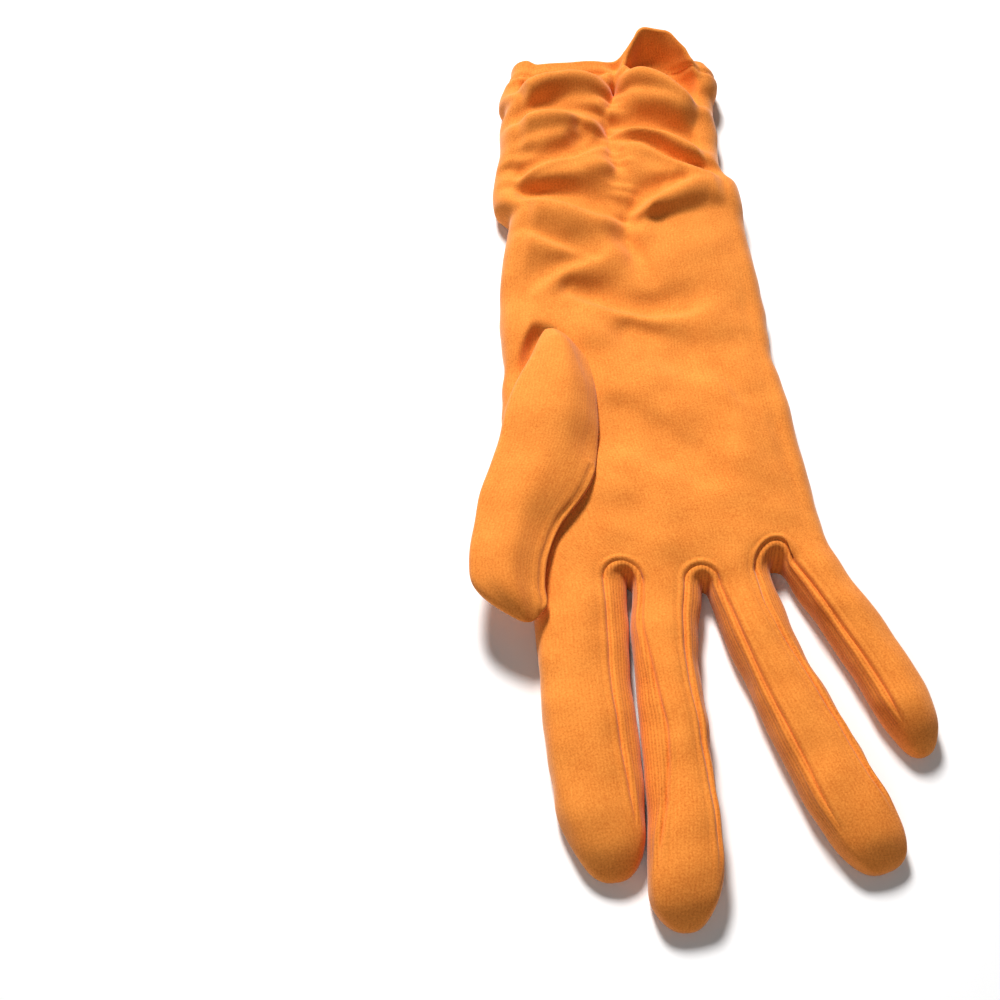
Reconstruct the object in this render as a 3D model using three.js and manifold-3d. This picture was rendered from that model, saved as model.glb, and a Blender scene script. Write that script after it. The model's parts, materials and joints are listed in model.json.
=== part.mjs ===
import * as THREE from 'three';
import ManifoldModule from 'manifold-3d';

const wasm = await ManifoldModule();
wasm.setup();
const { Manifold, Mesh: SolidMesh } = wasm;

// A right-hand dress glove in stretch cloth, lying palm up, fingers toward -Y, cuff toward +Y.
// Lengths are millimetres, +Z is up and the back of the glove lies on z = 0.

// Driving sizes: the arm, from the finger roots to the hem
const palmLength = 52;
const forearmLength = 66;
const cuffLength = 64;
const palmWidth = 80;
const wristWidth = 74;
const cuffWidth = 68;
const palmHeight = 10.5;
const forearmHeight = 12.5;
const cuffHeight = 14;

// Driving sizes: fingers and thumb
const indexLength = 74;
const middleLength = 84;
const ringLength = 78;
const littleLength = 56;
const indexWidth = 22;
const middleWidth = 18;
const ringWidth = 20;
const littleWidth = 18;
const fingerHeight = 11.8;
const thumbLength = 91;
const thumbWidth = 27;
const thumbHeight = 10;

// Driving sizes: how far each finger's root lies toward the cuff from the line of the finger roots
const indexRoot = -1;
const middleRoot = -2;
const ringRoot = 0;
const littleRoot = 6.5;

// Driving sizes: cloth and sewing
const clothWall = 1.3;
const seamGap = 0.3;
const webGap = 1;
const foldDepth = 3.4;
const thumbHoleLength = 40;
const thumbHoleWidth = 17;

// How finely the cloth is divided
const panelCells = 4;
const archCells = 3;
const sideCells = 4;
const palmRows = 4;
const forearmRows = 6;
const cuffRows = 19;

// The finger roots as a group stand to the little-finger side of the wrist's middle.
const rootShift = 10.2;

// Fingers from the index to the little finger. turn: degrees toward +X.
const fingers = [
  { name: 'index', length: indexLength, width: indexWidth, turn: 4, root: indexRoot },
  { name: 'middle', length: middleLength, width: middleWidth, turn: 0.4, root: middleRoot },
  { name: 'ring', length: ringLength, width: ringWidth, turn: 21.6, root: ringRoot },
  { name: 'little', length: littleLength, width: littleWidth, turn: 25.5, root: littleRoot },
];

// Finger outlines. along: share of the finger's length. left, right: shares of its width from the axis.
// leftSeam, rightSeam: how far inside the outline the front panel ends, as shares of its width.
const fingerOutline = {
  index: [
    { along: 0.0, left: -0.57, right: 0.57, leftSeam: 0.16, rightSeam: 0.3 },
    { along: 0.15, left: -0.57, right: 0.54, leftSeam: 0.16, rightSeam: 0.28 },
    { along: 0.4, left: -0.57, right: 0.49, leftSeam: 0.16, rightSeam: 0.27 },
    { along: 0.6, left: -0.56, right: 0.48, leftSeam: 0.16, rightSeam: 0.24 },
    { along: 0.78, left: -0.53, right: 0.46, leftSeam: 0.15, rightSeam: 0.17 },
    { along: 0.9, left: -0.39, right: 0.42, leftSeam: 0.13, rightSeam: 0.1 },
    { along: 0.96, left: -0.28, right: 0.35, leftSeam: 0.1, rightSeam: 0.07 },
    { along: 1.0, left: -0.13, right: 0.24, leftSeam: 0.05, rightSeam: 0.05 },
  ],
  middle: [
    { along: 0.0, left: -0.47, right: 0.51, leftSeam: 0.12, rightSeam: 0.27 },
    { along: 0.15, left: -0.49, right: 0.42, leftSeam: 0.13, rightSeam: 0.25 },
    { along: 0.3, left: -0.49, right: 0.4, leftSeam: 0.22, rightSeam: 0.21 },
    { along: 0.47, left: -0.46, right: 0.43, leftSeam: 0.31, rightSeam: 0.15 },
    { along: 0.68, left: -0.46, right: 0.48, leftSeam: 0.21, rightSeam: 0.1 },
    { along: 0.83, left: -0.51, right: 0.49, leftSeam: 0.13, rightSeam: 0.08 },
    { along: 0.93, left: -0.51, right: 0.38, leftSeam: 0.1, rightSeam: 0.07 },
    { along: 0.98, left: -0.38, right: 0.26, leftSeam: 0.07, rightSeam: 0.06 },
    { along: 1.0, left: -0.25, right: 0.18, leftSeam: 0.05, rightSeam: 0.05 },
  ],
  ring: [
    { along: 0.0, left: -0.42, right: 0.48, leftSeam: 0.12, rightSeam: 0.27 },
    { along: 0.15, left: -0.5, right: 0.38, leftSeam: 0.16, rightSeam: 0.29 },
    { along: 0.35, left: -0.55, right: 0.33, leftSeam: 0.15, rightSeam: 0.19 },
    { along: 0.55, left: -0.58, right: 0.34, leftSeam: 0.18, rightSeam: 0.16 },
    { along: 0.75, left: -0.54, right: 0.36, leftSeam: 0.12, rightSeam: 0.13 },
    { along: 0.88, left: -0.49, right: 0.39, leftSeam: 0.08, rightSeam: 0.09 },
    { along: 0.95, left: -0.39, right: 0.36, leftSeam: 0.07, rightSeam: 0.07 },
    { along: 1.0, left: -0.25, right: 0.25, leftSeam: 0.05, rightSeam: 0.05 },
  ],
  little: [
    { along: 0.0, left: -0.42, right: 0.38, leftSeam: 0.14, rightSeam: 0.17 },
    { along: 0.15, left: -0.39, right: 0.35, leftSeam: 0.14, rightSeam: 0.17 },
    { along: 0.35, left: -0.37, right: 0.42, leftSeam: 0.13, rightSeam: 0.17 },
    { along: 0.55, left: -0.38, right: 0.46, leftSeam: 0.17, rightSeam: 0.17 },
    { along: 0.75, left: -0.38, right: 0.4, leftSeam: 0.16, rightSeam: 0.15 },
    { along: 0.89, left: -0.33, right: 0.32, leftSeam: 0.08, rightSeam: 0.12 },
    { along: 0.96, left: -0.3, right: 0.23, leftSeam: 0.06, rightSeam: 0.08 },
    { along: 1.0, left: -0.21, right: 0.13, leftSeam: 0.04, rightSeam: 0.04 },
  ],
};

// How high a finger stands along its length, as a share of its height.
const fingerRise = [
  { along: 0.0, rise: 0.88 },
  { along: 0.3, rise: 1.0 },
  { along: 0.7, rise: 0.98 },
  { along: 0.86, rise: 0.9 },
  { along: 0.95, rise: 0.66 },
  { along: 1.0, rise: 0.34 },
];

// Arm outline from the finger roots to the hem. zone and along: which stretch of the arm and how far
// along it. left, right: shares of that zone's width from the wrist's middle.
const armOutline = [
  { zone: 'palm', along: 0.26, left: -0.404, right: 0.598 },
  { zone: 'palm', along: 0.52, left: -0.431, right: 0.573 },
  { zone: 'palm', along: 0.8, left: -0.446, right: 0.546 },
  { zone: 'forearm', along: 0.08, left: -0.488, right: 0.565 },
  { zone: 'forearm', along: 0.33, left: -0.493, right: 0.536 },
  { zone: 'forearm', along: 0.6, left: -0.493, right: 0.519 },
  { zone: 'forearm', along: 0.78, left: -0.485, right: 0.501 },
  { zone: 'forearm', along: 0.93, left: -0.462, right: 0.488 },
  { zone: 'forearm', along: 1.0, left: -0.452, right: 0.482 },
  { zone: 'cuff', along: 0.09, left: -0.555, right: 0.519 },
  { zone: 'cuff', along: 0.2, left: -0.563, right: 0.508 },
  { zone: 'cuff', along: 0.34, left: -0.549, right: 0.442 },
  { zone: 'cuff', along: 0.46, left: -0.533, right: 0.441 },
  { zone: 'cuff', along: 0.57, left: -0.538, right: 0.447 },
  { zone: 'cuff', along: 0.67, left: -0.512, right: 0.44 },
  { zone: 'cuff', along: 0.75, left: -0.545, right: 0.443 },
  { zone: 'cuff', along: 0.85, left: -0.532, right: 0.466 },
  { zone: 'cuff', along: 0.94, left: -0.5, right: 0.456 },
  { zone: 'cuff', along: 1.0, left: -0.487, right: 0.434 },
];

// How high the arm stands along its length from the finger roots to the hem.
const armRise = [
  { zone: 'palm', along: 0.0, rise: palmHeight },
  { zone: 'forearm', along: 0.44, rise: palmHeight },
  { zone: 'forearm', along: 0.8, rise: forearmHeight },
  { zone: 'cuff', along: 0.2, rise: cuffHeight },
  { zone: 'cuff', along: 1.0, rise: cuffHeight * 0.9 },
];

// Folds and gathers on the front. x: share of the cuff's width from the wrist's middle. y: share of the
// way from the start of the forearm to the hem. rise: share of the fold depth. reach: half width of the
// fold in millimetres.
const folds = [
  { rise: 0.7, reach: 6.5, line: [[-0.44, 0.97], [-0.3, 0.955], [-0.1, 0.955], [-0.02, 0.94]] },
  { rise: -1.1, reach: 4.5, line: [[-0.36, 0.905], [-0.2, 0.915], [-0.06, 0.89]] },
  { rise: 1.0, reach: 5.5, line: [[-0.48, 0.88], [-0.36, 0.86], [-0.16, 0.87], [-0.03, 0.85]] },
  { rise: -0.6, reach: 4.5, line: [[-0.52, 0.82], [-0.3, 0.83], [-0.06, 0.82]] },
  { rise: 0.9, reach: 5.5, line: [[-0.53, 0.75], [-0.35, 0.78], [-0.15, 0.79], [-0.04, 0.76]] },
  { rise: -0.9, reach: 4.5, line: [[-0.5, 0.69], [-0.3, 0.72], [-0.08, 0.71]] },
  { rise: 0.9, reach: 5.5, line: [[-0.5, 0.62], [-0.3, 0.66], [-0.12, 0.665], [-0.03, 0.65]] },
  { rise: -1.0, reach: 4.5, line: [[-0.55, 0.56], [-0.35, 0.595], [-0.1, 0.59]] },
  { rise: 1.0, reach: 6.0, line: [[-0.55, 0.53], [-0.38, 0.54], [-0.15, 0.505], [0.0, 0.495]] },
  { rise: -0.7, reach: 5.0, line: [[-0.5, 0.455], [-0.3, 0.465], [-0.05, 0.44]] },
  { rise: 0.6, reach: 7.0, line: [[-0.52, 0.45], [-0.42, 0.4], [-0.28, 0.35]] },
  { rise: 1.0, reach: 8.5, line: [[0.08, 1.0], [0.2, 1.05], [0.32, 1.02], [0.4, 0.96]] },
  { rise: -1.3, reach: 4.5, line: [[0.06, 0.95], [0.18, 0.97], [0.3, 0.94]] },
  { rise: 1.0, reach: 5.5, line: [[0.02, 0.905], [0.14, 0.92], [0.28, 0.89], [0.42, 0.84]] },
  { rise: -0.8, reach: 4.5, line: [[0.05, 0.85], [0.2, 0.845], [0.36, 0.8]] },
  { rise: 0.9, reach: 5.0, line: [[0.0, 0.81], [0.15, 0.8], [0.3, 0.765], [0.43, 0.74]] },
  { rise: -1.0, reach: 4.5, line: [[0.02, 0.755], [0.2, 0.735], [0.4, 0.69]] },
  { rise: 0.9, reach: 5.5, line: [[0.0, 0.7], [0.14, 0.68], [0.28, 0.64], [0.42, 0.63]] },
  { rise: -0.7, reach: 4.5, line: [[0.02, 0.62], [0.2, 0.6], [0.4, 0.57]] },
  { rise: 1.0, reach: 6.0, line: [[-0.02, 0.52], [0.12, 0.55], [0.26, 0.56], [0.42, 0.55]] },
  { rise: -0.9, reach: 5.0, line: [[0.04, 0.475], [0.2, 0.5], [0.36, 0.5]] },
  { rise: 0.6, reach: 7.0, line: [[0.04, 0.43], [0.16, 0.42], [0.3, 0.41]] },
  { rise: 0.5, reach: 8.0, line: [[-0.16, 0.29], [0.05, 0.245], [0.3, 0.21], [0.5, 0.21]] },
  { rise: -0.45, reach: 7.0, line: [[0.06, 0.17], [0.25, 0.1], [0.42, 0.03], [0.5, -0.08]] },
  { rise: 0.7, reach: 26.0, line: [[0.42, 0.05], [0.45, -0.2]] },
];

// The gather threads draw the cloth in along the middle of the front and back of the cuff.
const gatherDepth = 2.2;
const gatherReach = 4.5;
const gatherLine = [[0.02, 1.0], [-0.03, 0.85], [-0.05, 0.75], [0.01, 0.6], [0.02, 0.5]];

// How far the front of the cuff bulges past the hem, by its share of the way across.
const hemBulge = [
  { across: 0.0, past: -1.0 },
  { across: 0.08, past: -3.0 },
  { across: 0.52, past: -3.0 },
  { across: 0.6, past: 0.0 },
  { across: 0.7, past: 5.0 },
  { across: 0.82, past: 4.0 },
  { across: 0.93, past: -1.0 },
  { across: 1.0, past: -3.0 },
];
const bulgeReach = 12;

// Webs between the fingers: how far the front seam arches toward the cuff above the finger roots.
const webs = [
  { name: 'fourchette_index_middle', frontArch: 5.0, backArch: 1.2 },
  { name: 'fourchette_middle_ring', frontArch: 4.5, backArch: 1.2 },
  { name: 'fourchette_ring_little', frontArch: 6.5, backArch: 1.2 },
];
const webEnd = 0.86;
const webSlope = 1.3;

// Thumb outline from its point on the palm to its tip. left, right: shares of the thumb's width from
// its axis. rise: share of the thumb's height.
const thumbTurn = -3;
const thumbOutline = [
  { along: 0.0, left: -0.02, right: 0.04, rise: 0.22 },
  { along: 0.06, left: -0.06, right: 0.22, rise: 0.5 },
  { along: 0.11, left: -0.09, right: 0.41, rise: 0.72 },
  { along: 0.15, left: -0.13, right: 0.51, rise: 0.86 },
  { along: 0.21, left: -0.23, right: 0.57, rise: 0.96 },
  { along: 0.3, left: -0.33, right: 0.59, rise: 1.0 },
  { along: 0.38, left: -0.37, right: 0.61, rise: 1.0 },
  { along: 0.47, left: -0.43, right: 0.61, rise: 1.0 },
  { along: 0.57, left: -0.51, right: 0.55, rise: 0.97 },
  { along: 0.62, left: -0.54, right: 0.47, rise: 0.95 },
  { along: 0.7, left: -0.58, right: 0.29, rise: 0.93 },
  { along: 0.77, left: -0.59, right: 0.2, rise: 0.95 },
  { along: 0.84, left: -0.6, right: 0.14, rise: 0.96 },
  { along: 0.91, left: -0.58, right: 0.14, rise: 0.93 },
  { along: 0.95, left: -0.45, right: 0.16, rise: 0.83 },
  { along: 0.985, left: -0.27, right: 0.12, rise: 0.62 },
  { along: 1.0, left: -0.11, right: 0.06, rise: 0.35 },
];
const thumbCells = 4;
const thumbPointX = -24.4;
const thumbPointY = 77.5;
const thumbHoleX = -21.5;
const thumbHoleY = 45;

const colors = {
  cloth: '#f1913e',
  side: '#e8893a',
  thumb: '#ef8f39',
};

function mix(a, b, t) {
  return a + (b - a) * t;
}

function smooth(t) {
  const s = Math.min(1, Math.max(0, t));
  return s * s * (3 - 2 * s);
}

// Value of a table's column at a place along it, joined by a smooth curve through the rows.
function read(rows, key, column, at) {
  const last = rows.length - 1;
  if (at <= rows[0][key]) return rows[0][column];
  if (at >= rows[last][key]) return rows[last][column];
  let i = 0;
  while (rows[i + 1][key] < at) i += 1;
  const p1 = rows[i];
  const p2 = rows[i + 1];
  const p0 = rows[Math.max(0, i - 1)];
  const p3 = rows[Math.min(last, i + 2)];
  const span = p2[key] - p1[key];
  const t = (at - p1[key]) / span;
  const m1 = slope(p0, p1, p2, key, column) * span;
  const m2 = slope(p1, p2, p3, key, column) * span;
  const t2 = t * t;
  const t3 = t2 * t;
  return (2 * t3 - 3 * t2 + 1) * p1[column] + (t3 - 2 * t2 + t) * m1
    + (3 * t2 - 2 * t3) * p2[column] + (t3 - t2) * m2;
}

// Slope of the curve at the middle of three rows, held flat at turning points.
function slope(before, here, after, key, column) {
  const rise1 = here[column] - before[column];
  const rise2 = after[column] - here[column];
  const run1 = here[key] - before[key];
  const run2 = after[key] - here[key];
  if (run1 === 0) return rise2 / run2;
  if (run2 === 0) return rise1 / run1;
  const s1 = rise1 / run1;
  const s2 = rise2 / run2;
  if (s1 * s2 <= 0) return 0;
  return (2 * s1 * s2) / (s1 + s2);
}

const zoneStart = { palm: 0, forearm: palmLength, cuff: palmLength + forearmLength };
const zoneLength = { palm: palmLength, forearm: forearmLength, cuff: cuffLength };
const zoneWidth = { palm: palmWidth, forearm: wristWidth, cuff: cuffWidth };
const armLength = palmLength + forearmLength + cuffLength;

const armRows = armOutline.map((row) => ({
  y: zoneStart[row.zone] + row.along * zoneLength[row.zone],
  left: row.left * zoneWidth[row.zone],
  right: row.right * zoneWidth[row.zone],
}));
const riseRows = armRise.map((row) => ({
  y: zoneStart[row.zone] + row.along * zoneLength[row.zone],
  rise: row.rise,
}));

// Distance from a point to a line of joined points.
function lineDistance(x, y, line) {
  let best = Infinity;
  for (let i = 0; i + 1 < line.length; i += 1) {
    const [x0, y0] = line[i];
    const [x1, y1] = line[i + 1];
    const dx = x1 - x0;
    const dy = y1 - y0;
    const t = Math.min(1, Math.max(0, ((x - x0) * dx + (y - y0) * dy) / (dx * dx + dy * dy)));
    best = Math.min(best, Math.hypot(x - x0 - t * dx, y - y0 - t * dy));
  }
  return best;
}

// Rounded hump that is 1 on the line and 0 from the reach outward.
function hump(distance, reach) {
  const t = distance / reach;
  return t >= 1 ? 0 : (1 - t * t) ** 2;
}

function foldPoint([x, y]) {
  return [x * cuffWidth, palmLength + y * (forearmLength + cuffLength)];
}

const foldLines = folds.map((fold) => ({ ...fold, line: fold.line.map(foldPoint) }));
const gatherPoints = gatherLine.map(foldPoint);

// Height that the folds and gathers add to the front at a point of the arm.
function relief(x, y) {
  let z = 0;
  for (const fold of foldLines) {
    z += fold.rise * foldDepth * hump(lineDistance(x, y, fold.line), fold.reach);
  }
  z -= gatherDepth * hump(lineDistance(x, y, gatherPoints), gatherReach);
  return z;
}

// Side of a cloth tube from the front panel's edge at r = 0 down to the floor at r = 1. It is widest at
// the edge share of its height, and tucks under by a share of the seam's distance from the outline.
const edgeShare = 0.36;
const sideBreak = 0.68;
const underShare = 0.5;
const underLimit = 1.2;
function sidePoint(r, inner, outer, seamZ, height) {
  const edgeZ = height * edgeShare;
  const tuck = Math.min(Math.abs(inner - outer) * underShare, edgeZ * underLimit);
  const under = outer + Math.sign(inner - outer) * tuck;
  if (r <= sideBreak) {
    const a = (r / sideBreak) * Math.PI / 2;
    return [mix(inner, outer, Math.sin(a)), mix(edgeZ, seamZ, Math.cos(a))];
  }
  const a = ((r - sideBreak) / (1 - sideBreak)) * Math.PI / 2;
  return [mix(under, outer, Math.cos(a)), edgeZ * (1 - Math.sin(a))];
}

// The seams of a finger's front panel stand at a share of its height. A tip closes in a point a little
// past the last section.
const seamShare = 0.84;
const tipPast = 1;
const tipShare = 0.45;

// Where each finger's axis starts, stacked across the knuckles with a gap for each web.
function fingerRoots() {
  const spans = [0];
  for (let i = 1; i < fingers.length; i += 1) {
    const right = fingerOutline[fingers[i - 1].name][0].right * fingers[i - 1].width;
    const left = -fingerOutline[fingers[i].name][0].left * fingers[i].width;
    spans.push(spans[i - 1] + right + left + webGap);
  }
  const first = fingerOutline.index[0].left * indexWidth;
  const last = spans[3] + fingerOutline.little[0].right * littleWidth;
  const middle = (first + last) / 2;
  return spans.map((span, i) => [span - middle + rootShift, fingers[i].root]);
}

const roots = fingerRoots();

// A finger's cross-section at a share of its length, in the finger's own frame.
function fingerSection(i, along) {
  const { name, width } = fingers[i];
  const rows = fingerOutline[name];
  const height = fingerHeight * read(fingerRise, 'along', 'rise', along);
  const left = read(rows, 'along', 'left', along) * width;
  const right = read(rows, 'along', 'right', along) * width;
  return {
    height,
    left,
    right,
    innerLeft: left + read(rows, 'along', 'leftSeam', along) * width,
    innerRight: right - read(rows, 'along', 'rightSeam', along) * width,
    seamZ: height * seamShare,
  };
}

function fingerPlace(i, along, x, z) {
  const { length, turn } = fingers[i];
  const a = (turn * Math.PI) / 180;
  const down = along * length;
  return [
    roots[i][0] + x * Math.cos(a) + down * Math.sin(a),
    roots[i][1] + x * Math.sin(a) - down * Math.cos(a),
    z,
  ];
}

function fingerFront(i, along, u) {
  const s = fingerSection(i, along);
  const bow = (s.height - s.seamZ) * (1 - (2 * u - 1) ** 2);
  return fingerPlace(i, along, mix(s.innerLeft, s.innerRight, u), s.seamZ + bow);
}

function fingerSide(i, along, r, right) {
  const s = fingerSection(i, along);
  const [x, z] = right
    ? sidePoint(r, s.innerRight, s.right, s.seamZ, s.height)
    : sidePoint(r, s.innerLeft, s.left, s.seamZ, s.height);
  return fingerPlace(i, along, x, z);
}

function fingerBack(i, along, u) {
  const s = fingerSection(i, along);
  const [x0] = sidePoint(1, s.innerLeft, s.left, s.seamZ, s.height);
  const [x1] = sidePoint(1, s.innerRight, s.right, s.seamZ, s.height);
  return fingerPlace(i, along, mix(x0, x1, u), 0);
}

// Web between finger i and the next: t runs across the arch, r from the front down to the back.
function webPoint(i, t, r) {
  const a = fingerSide(i, 0, r, true);
  const b = fingerSide(i + 1, 0, r, false);
  const across = (1 - Math.cos(Math.PI * t)) / 2;
  const depth = mix(webs[i].frontArch, webs[i].backArch, Math.min(1, r * webSlope));
  const arch = depth * Math.sin(Math.PI * t);
  return [mix(a[0], b[0], across), mix(a[1], b[1], across) + arch, mix(a[2], b[2], across)];
}

// The row of points across the finger roots, front or back.
function rootRow(front) {
  const row = [];
  for (let i = 0; i < fingers.length; i += 1) {
    for (let k = 0; k <= panelCells; k += 1) {
      row.push(front ? fingerFront(i, 0, k / panelCells) : fingerBack(i, 0, k / panelCells));
    }
    if (i < webs.length) {
      for (let k = 1; k < archCells; k += 1) row.push(webPoint(i, k / archCells, front ? 0 : 1));
    }
  }
  return row;
}

const frontRoots = rootRow(true);
const backRoots = rootRow(false);
const armColumns = frontRoots.length - 1;

// Distances from the finger roots at which the arm has a row of points.
function armStations() {
  const stations = [];
  const first = armRows[0].y;
  for (let i = 0; i < palmRows; i += 1) stations.push(mix(first, palmLength, i / palmRows));
  for (let i = 0; i < forearmRows; i += 1) stations.push(palmLength + (forearmLength * i) / forearmRows);
  for (let i = 0; i <= cuffRows; i += 1) {
    stations.push(palmLength + forearmLength + (cuffLength * i) / cuffRows);
  }
  return stations;
}

// Shares across the arm of its columns: as at the finger roots in the palm, even from the wrist on.
function columnShare(k, y, rootsAcross) {
  const t = smooth((y - armRows[0].y) / (palmLength - armRows[0].y));
  const x0 = rootsAcross[0][0];
  const x1 = rootsAcross[armColumns][0];
  return mix((rootsAcross[k][0] - x0) / (x1 - x0), k / armColumns, t);
}

// Shape of the arm: how far inside the outline its front begins to round off, and how flat its top is.
const armInset = 5;
const armSeamShare = 0.86;
const armTopPower = 4;
const edgeFade = 0.06;
const foldsAtEdge = 0.45;
const lowestFront = 3 * clothWall;
function armSection(y) {
  const height = read(riseRows, 'y', 'rise', y);
  const left = read(armRows, 'y', 'left', y);
  const right = read(armRows, 'y', 'right', y);
  return {
    height,
    left,
    right,
    innerLeft: left + armInset,
    innerRight: right - armInset,
    seamZ: height * armSeamShare,
  };
}

function armFront(k, y) {
  const s = armSection(y);
  const u = columnShare(k, y, frontRoots);
  const x = mix(s.innerLeft, s.innerRight, u);
  const bow = (s.height - s.seamZ) * (1 - (2 * u - 1) ** armTopPower);
  const fade = mix(foldsAtEdge, 1, smooth(Math.min(u, 1 - u) / edgeFade));
  const toHem = smooth((y - (armLength - bulgeReach)) / bulgeReach);
  const past = read(hemBulge, 'across', 'past', u) * toHem;
  return [x, y + past, Math.max(lowestFront, s.seamZ + bow + relief(x, y) * fade)];
}

function armSide(y, r, right) {
  const s = armSection(y);
  const edge = armFront(right ? armColumns : 0, y);
  const [x, z] = right
    ? sidePoint(r, s.innerRight, s.right, edge[2], s.height)
    : sidePoint(r, s.innerLeft, s.left, edge[2], s.height);
  return [x, mix(edge[1], y, smooth(r)), z];
}

function armBack(k, y) {
  const s = armSection(y);
  const u = columnShare(k, y, backRoots);
  const [x0] = sidePoint(1, s.innerLeft, s.left, s.seamZ, s.height);
  const [x1] = sidePoint(1, s.innerRight, s.right, s.seamZ, s.height);
  return [mix(x0, x1, u), y, 0];
}

// How far a point may move at a sharp bend, as the least cosine allowed for.
const sharpestInner = 0.75;
const sharpestCut = 0.5;

// A cloth surface being put together: points are shared where they meet, faces carry a piece name.
class Cloth {
  constructor() {
    this.points = [];
    this.index = new Map();
    this.faces = [];
  }

  point(p) {
    const key = p.map((c) => Math.round(c * 1e4)).join(',');
    if (!this.index.has(key)) {
      this.index.set(key, this.points.length);
      this.points.push(p);
    }
    return this.index.get(key);
  }

  face(piece, a, b, c) {
    if (a === b || b === c || a === c) return;
    this.faces.push({ piece, ids: [a, b, c] });
  }

  // A grid of cells, seen from outside with rows running down and columns running to the right.
  grid(piece, rows, columns, at, flip = false) {
    for (let i = 0; i < rows; i += 1) {
      for (let k = 0; k < columns; k += 1) {
        const a = this.point(at(i, k));
        const b = this.point(at(i, k + 1));
        const c = this.point(at(i + 1, k + 1));
        const d = this.point(at(i + 1, k));
        if (flip) {
          this.face(piece, a, b, c);
          this.face(piece, a, c, d);
        } else {
          this.face(piece, a, d, c);
          this.face(piece, a, c, b);
        }
      }
    }
  }

  // Closes a ring of points with a point pushed outward.
  cap(piece, ring, tip) {
    const t = this.point(tip);
    for (let i = 0; i < ring.length; i += 1) {
      this.face(piece, this.point(ring[i]), this.point(ring[(i + 1) % ring.length]), t);
    }
  }

  // Points moved to the inner side of the cloth.
  inward(wall, floor) {
    const normals = this.points.map(() => new THREE.Vector3());
    const around = this.points.map(() => []);
    const a = new THREE.Vector3();
    const b = new THREE.Vector3();
    for (const { ids } of this.faces) {
      for (let k = 0; k < 3; k += 1) {
        const p = new THREE.Vector3(...this.points[ids[k]]);
        a.set(...this.points[ids[(k + 1) % 3]]).sub(p);
        b.set(...this.points[ids[(k + 2) % 3]]).sub(p);
        const angle = a.angleTo(b);
        const n = new THREE.Vector3().crossVectors(a, b).normalize();
        if (!Number.isFinite(angle) || n.lengthSq() === 0) continue;
        normals[ids[k]].addScaledVector(n, angle);
        around[ids[k]].push(n);
      }
    }
    return this.points.map((p, i) => {
      const n = normals[i].normalize();
      const least = around[i].reduce((low, m) => Math.min(low, n.dot(m)), 1);
      const reach = wall / Math.max(sharpestInner, least);
      return [p[0] - n.x * reach, p[1] - n.y * reach, Math.max(floor + wall, p[2] - n.z * reach)];
    });
  }

  // One piece as a closed body: its outer faces, its inner faces and the cut edges between them.
  // The cut edges are drawn back by a gap, so that the piece stands clear of the one it is sewn to.
  body(piece, inner, gap) {
    const count = this.points.length;
    const triangles = [];
    const edges = new Map();
    for (const { ids } of this.faces.filter((face) => face.piece === piece)) {
      const [a, b, c] = ids;
      triangles.push([a, b, c], [c + count, b + count, a + count]);
      for (const [p, q] of [[a, b], [b, c], [c, a]]) {
        if (edges.has(`${q}_${p}`)) edges.delete(`${q}_${p}`);
        else edges.set(`${p}_${q}`, { p, q, ids });
      }
    }
    const back = new Map();
    for (const { p, q, ids } of edges.values()) {
      const away = this.awayFromEdge(p, q, ids);
      for (const id of [p, q]) back.set(id, [...(back.get(id) ?? []), away]);
      triangles.push([q, p, p + count], [q, p + count, q + count]);
    }
    const points = [...this.points, ...inner].map((p) => [...p]);
    const lowest = Math.min(...this.points.map((p) => p[2]));
    for (const [id, ways] of back) {
      const way = ways.reduce((sum, w) => sum.add(w), new THREE.Vector3()).normalize();
      const reach = gap / Math.max(sharpestCut, way.dot(ways[0]));
      for (const n of [id, id + count]) {
        points[n][0] += way.x * reach;
        points[n][1] += way.y * reach;
        points[n][2] = Math.max(lowest, points[n][2] + way.z * reach);
      }
    }
    return { points, triangles };
  }

  // Direction from a cut edge into its own face, along the cloth.
  awayFromEdge(p, q, ids) {
    const [a, b, c] = ids.map((id) => new THREE.Vector3(...this.points[id]));
    const normal = b.clone().sub(a).cross(c.clone().sub(a));
    const along = new THREE.Vector3(...this.points[q]).sub(new THREE.Vector3(...this.points[p]));
    return normal.cross(along).normalize();
  }
}

function solidOf({ points, triangles }) {
  const used = new Map();
  const vertices = [];
  const corners = [];
  for (const triangle of triangles) {
    for (const id of triangle) {
      if (!used.has(id)) {
        used.set(id, used.size);
        vertices.push(...points[id]);
      }
      corners.push(used.get(id));
    }
  }
  const mesh = new SolidMesh({
    numProp: 3,
    vertProperties: new Float32Array(vertices),
    triVerts: new Uint32Array(corners),
  });
  return new Manifold(mesh);
}

function meshOf(name, solid, color) {
  const { vertProperties, triVerts } = solid.getMesh();
  const geometry = new THREE.BufferGeometry();
  geometry.setAttribute('position', new THREE.BufferAttribute(new Float32Array(vertProperties), 3));
  geometry.setIndex(new THREE.BufferAttribute(new Uint32Array(triVerts), 1));
  geometry.computeVertexNormals();
  const mesh = new THREE.Mesh(geometry, new THREE.MeshStandardMaterial({ color, roughness: 0.9 }));
  mesh.name = name;
  return mesh;
}

// Stations along a finger, close together at the tip.
const fingerStations = [0, 0.08, 0.18, 0.3, 0.44, 0.58, 0.72, webEnd, 0.925, 0.97, 1];

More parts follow.
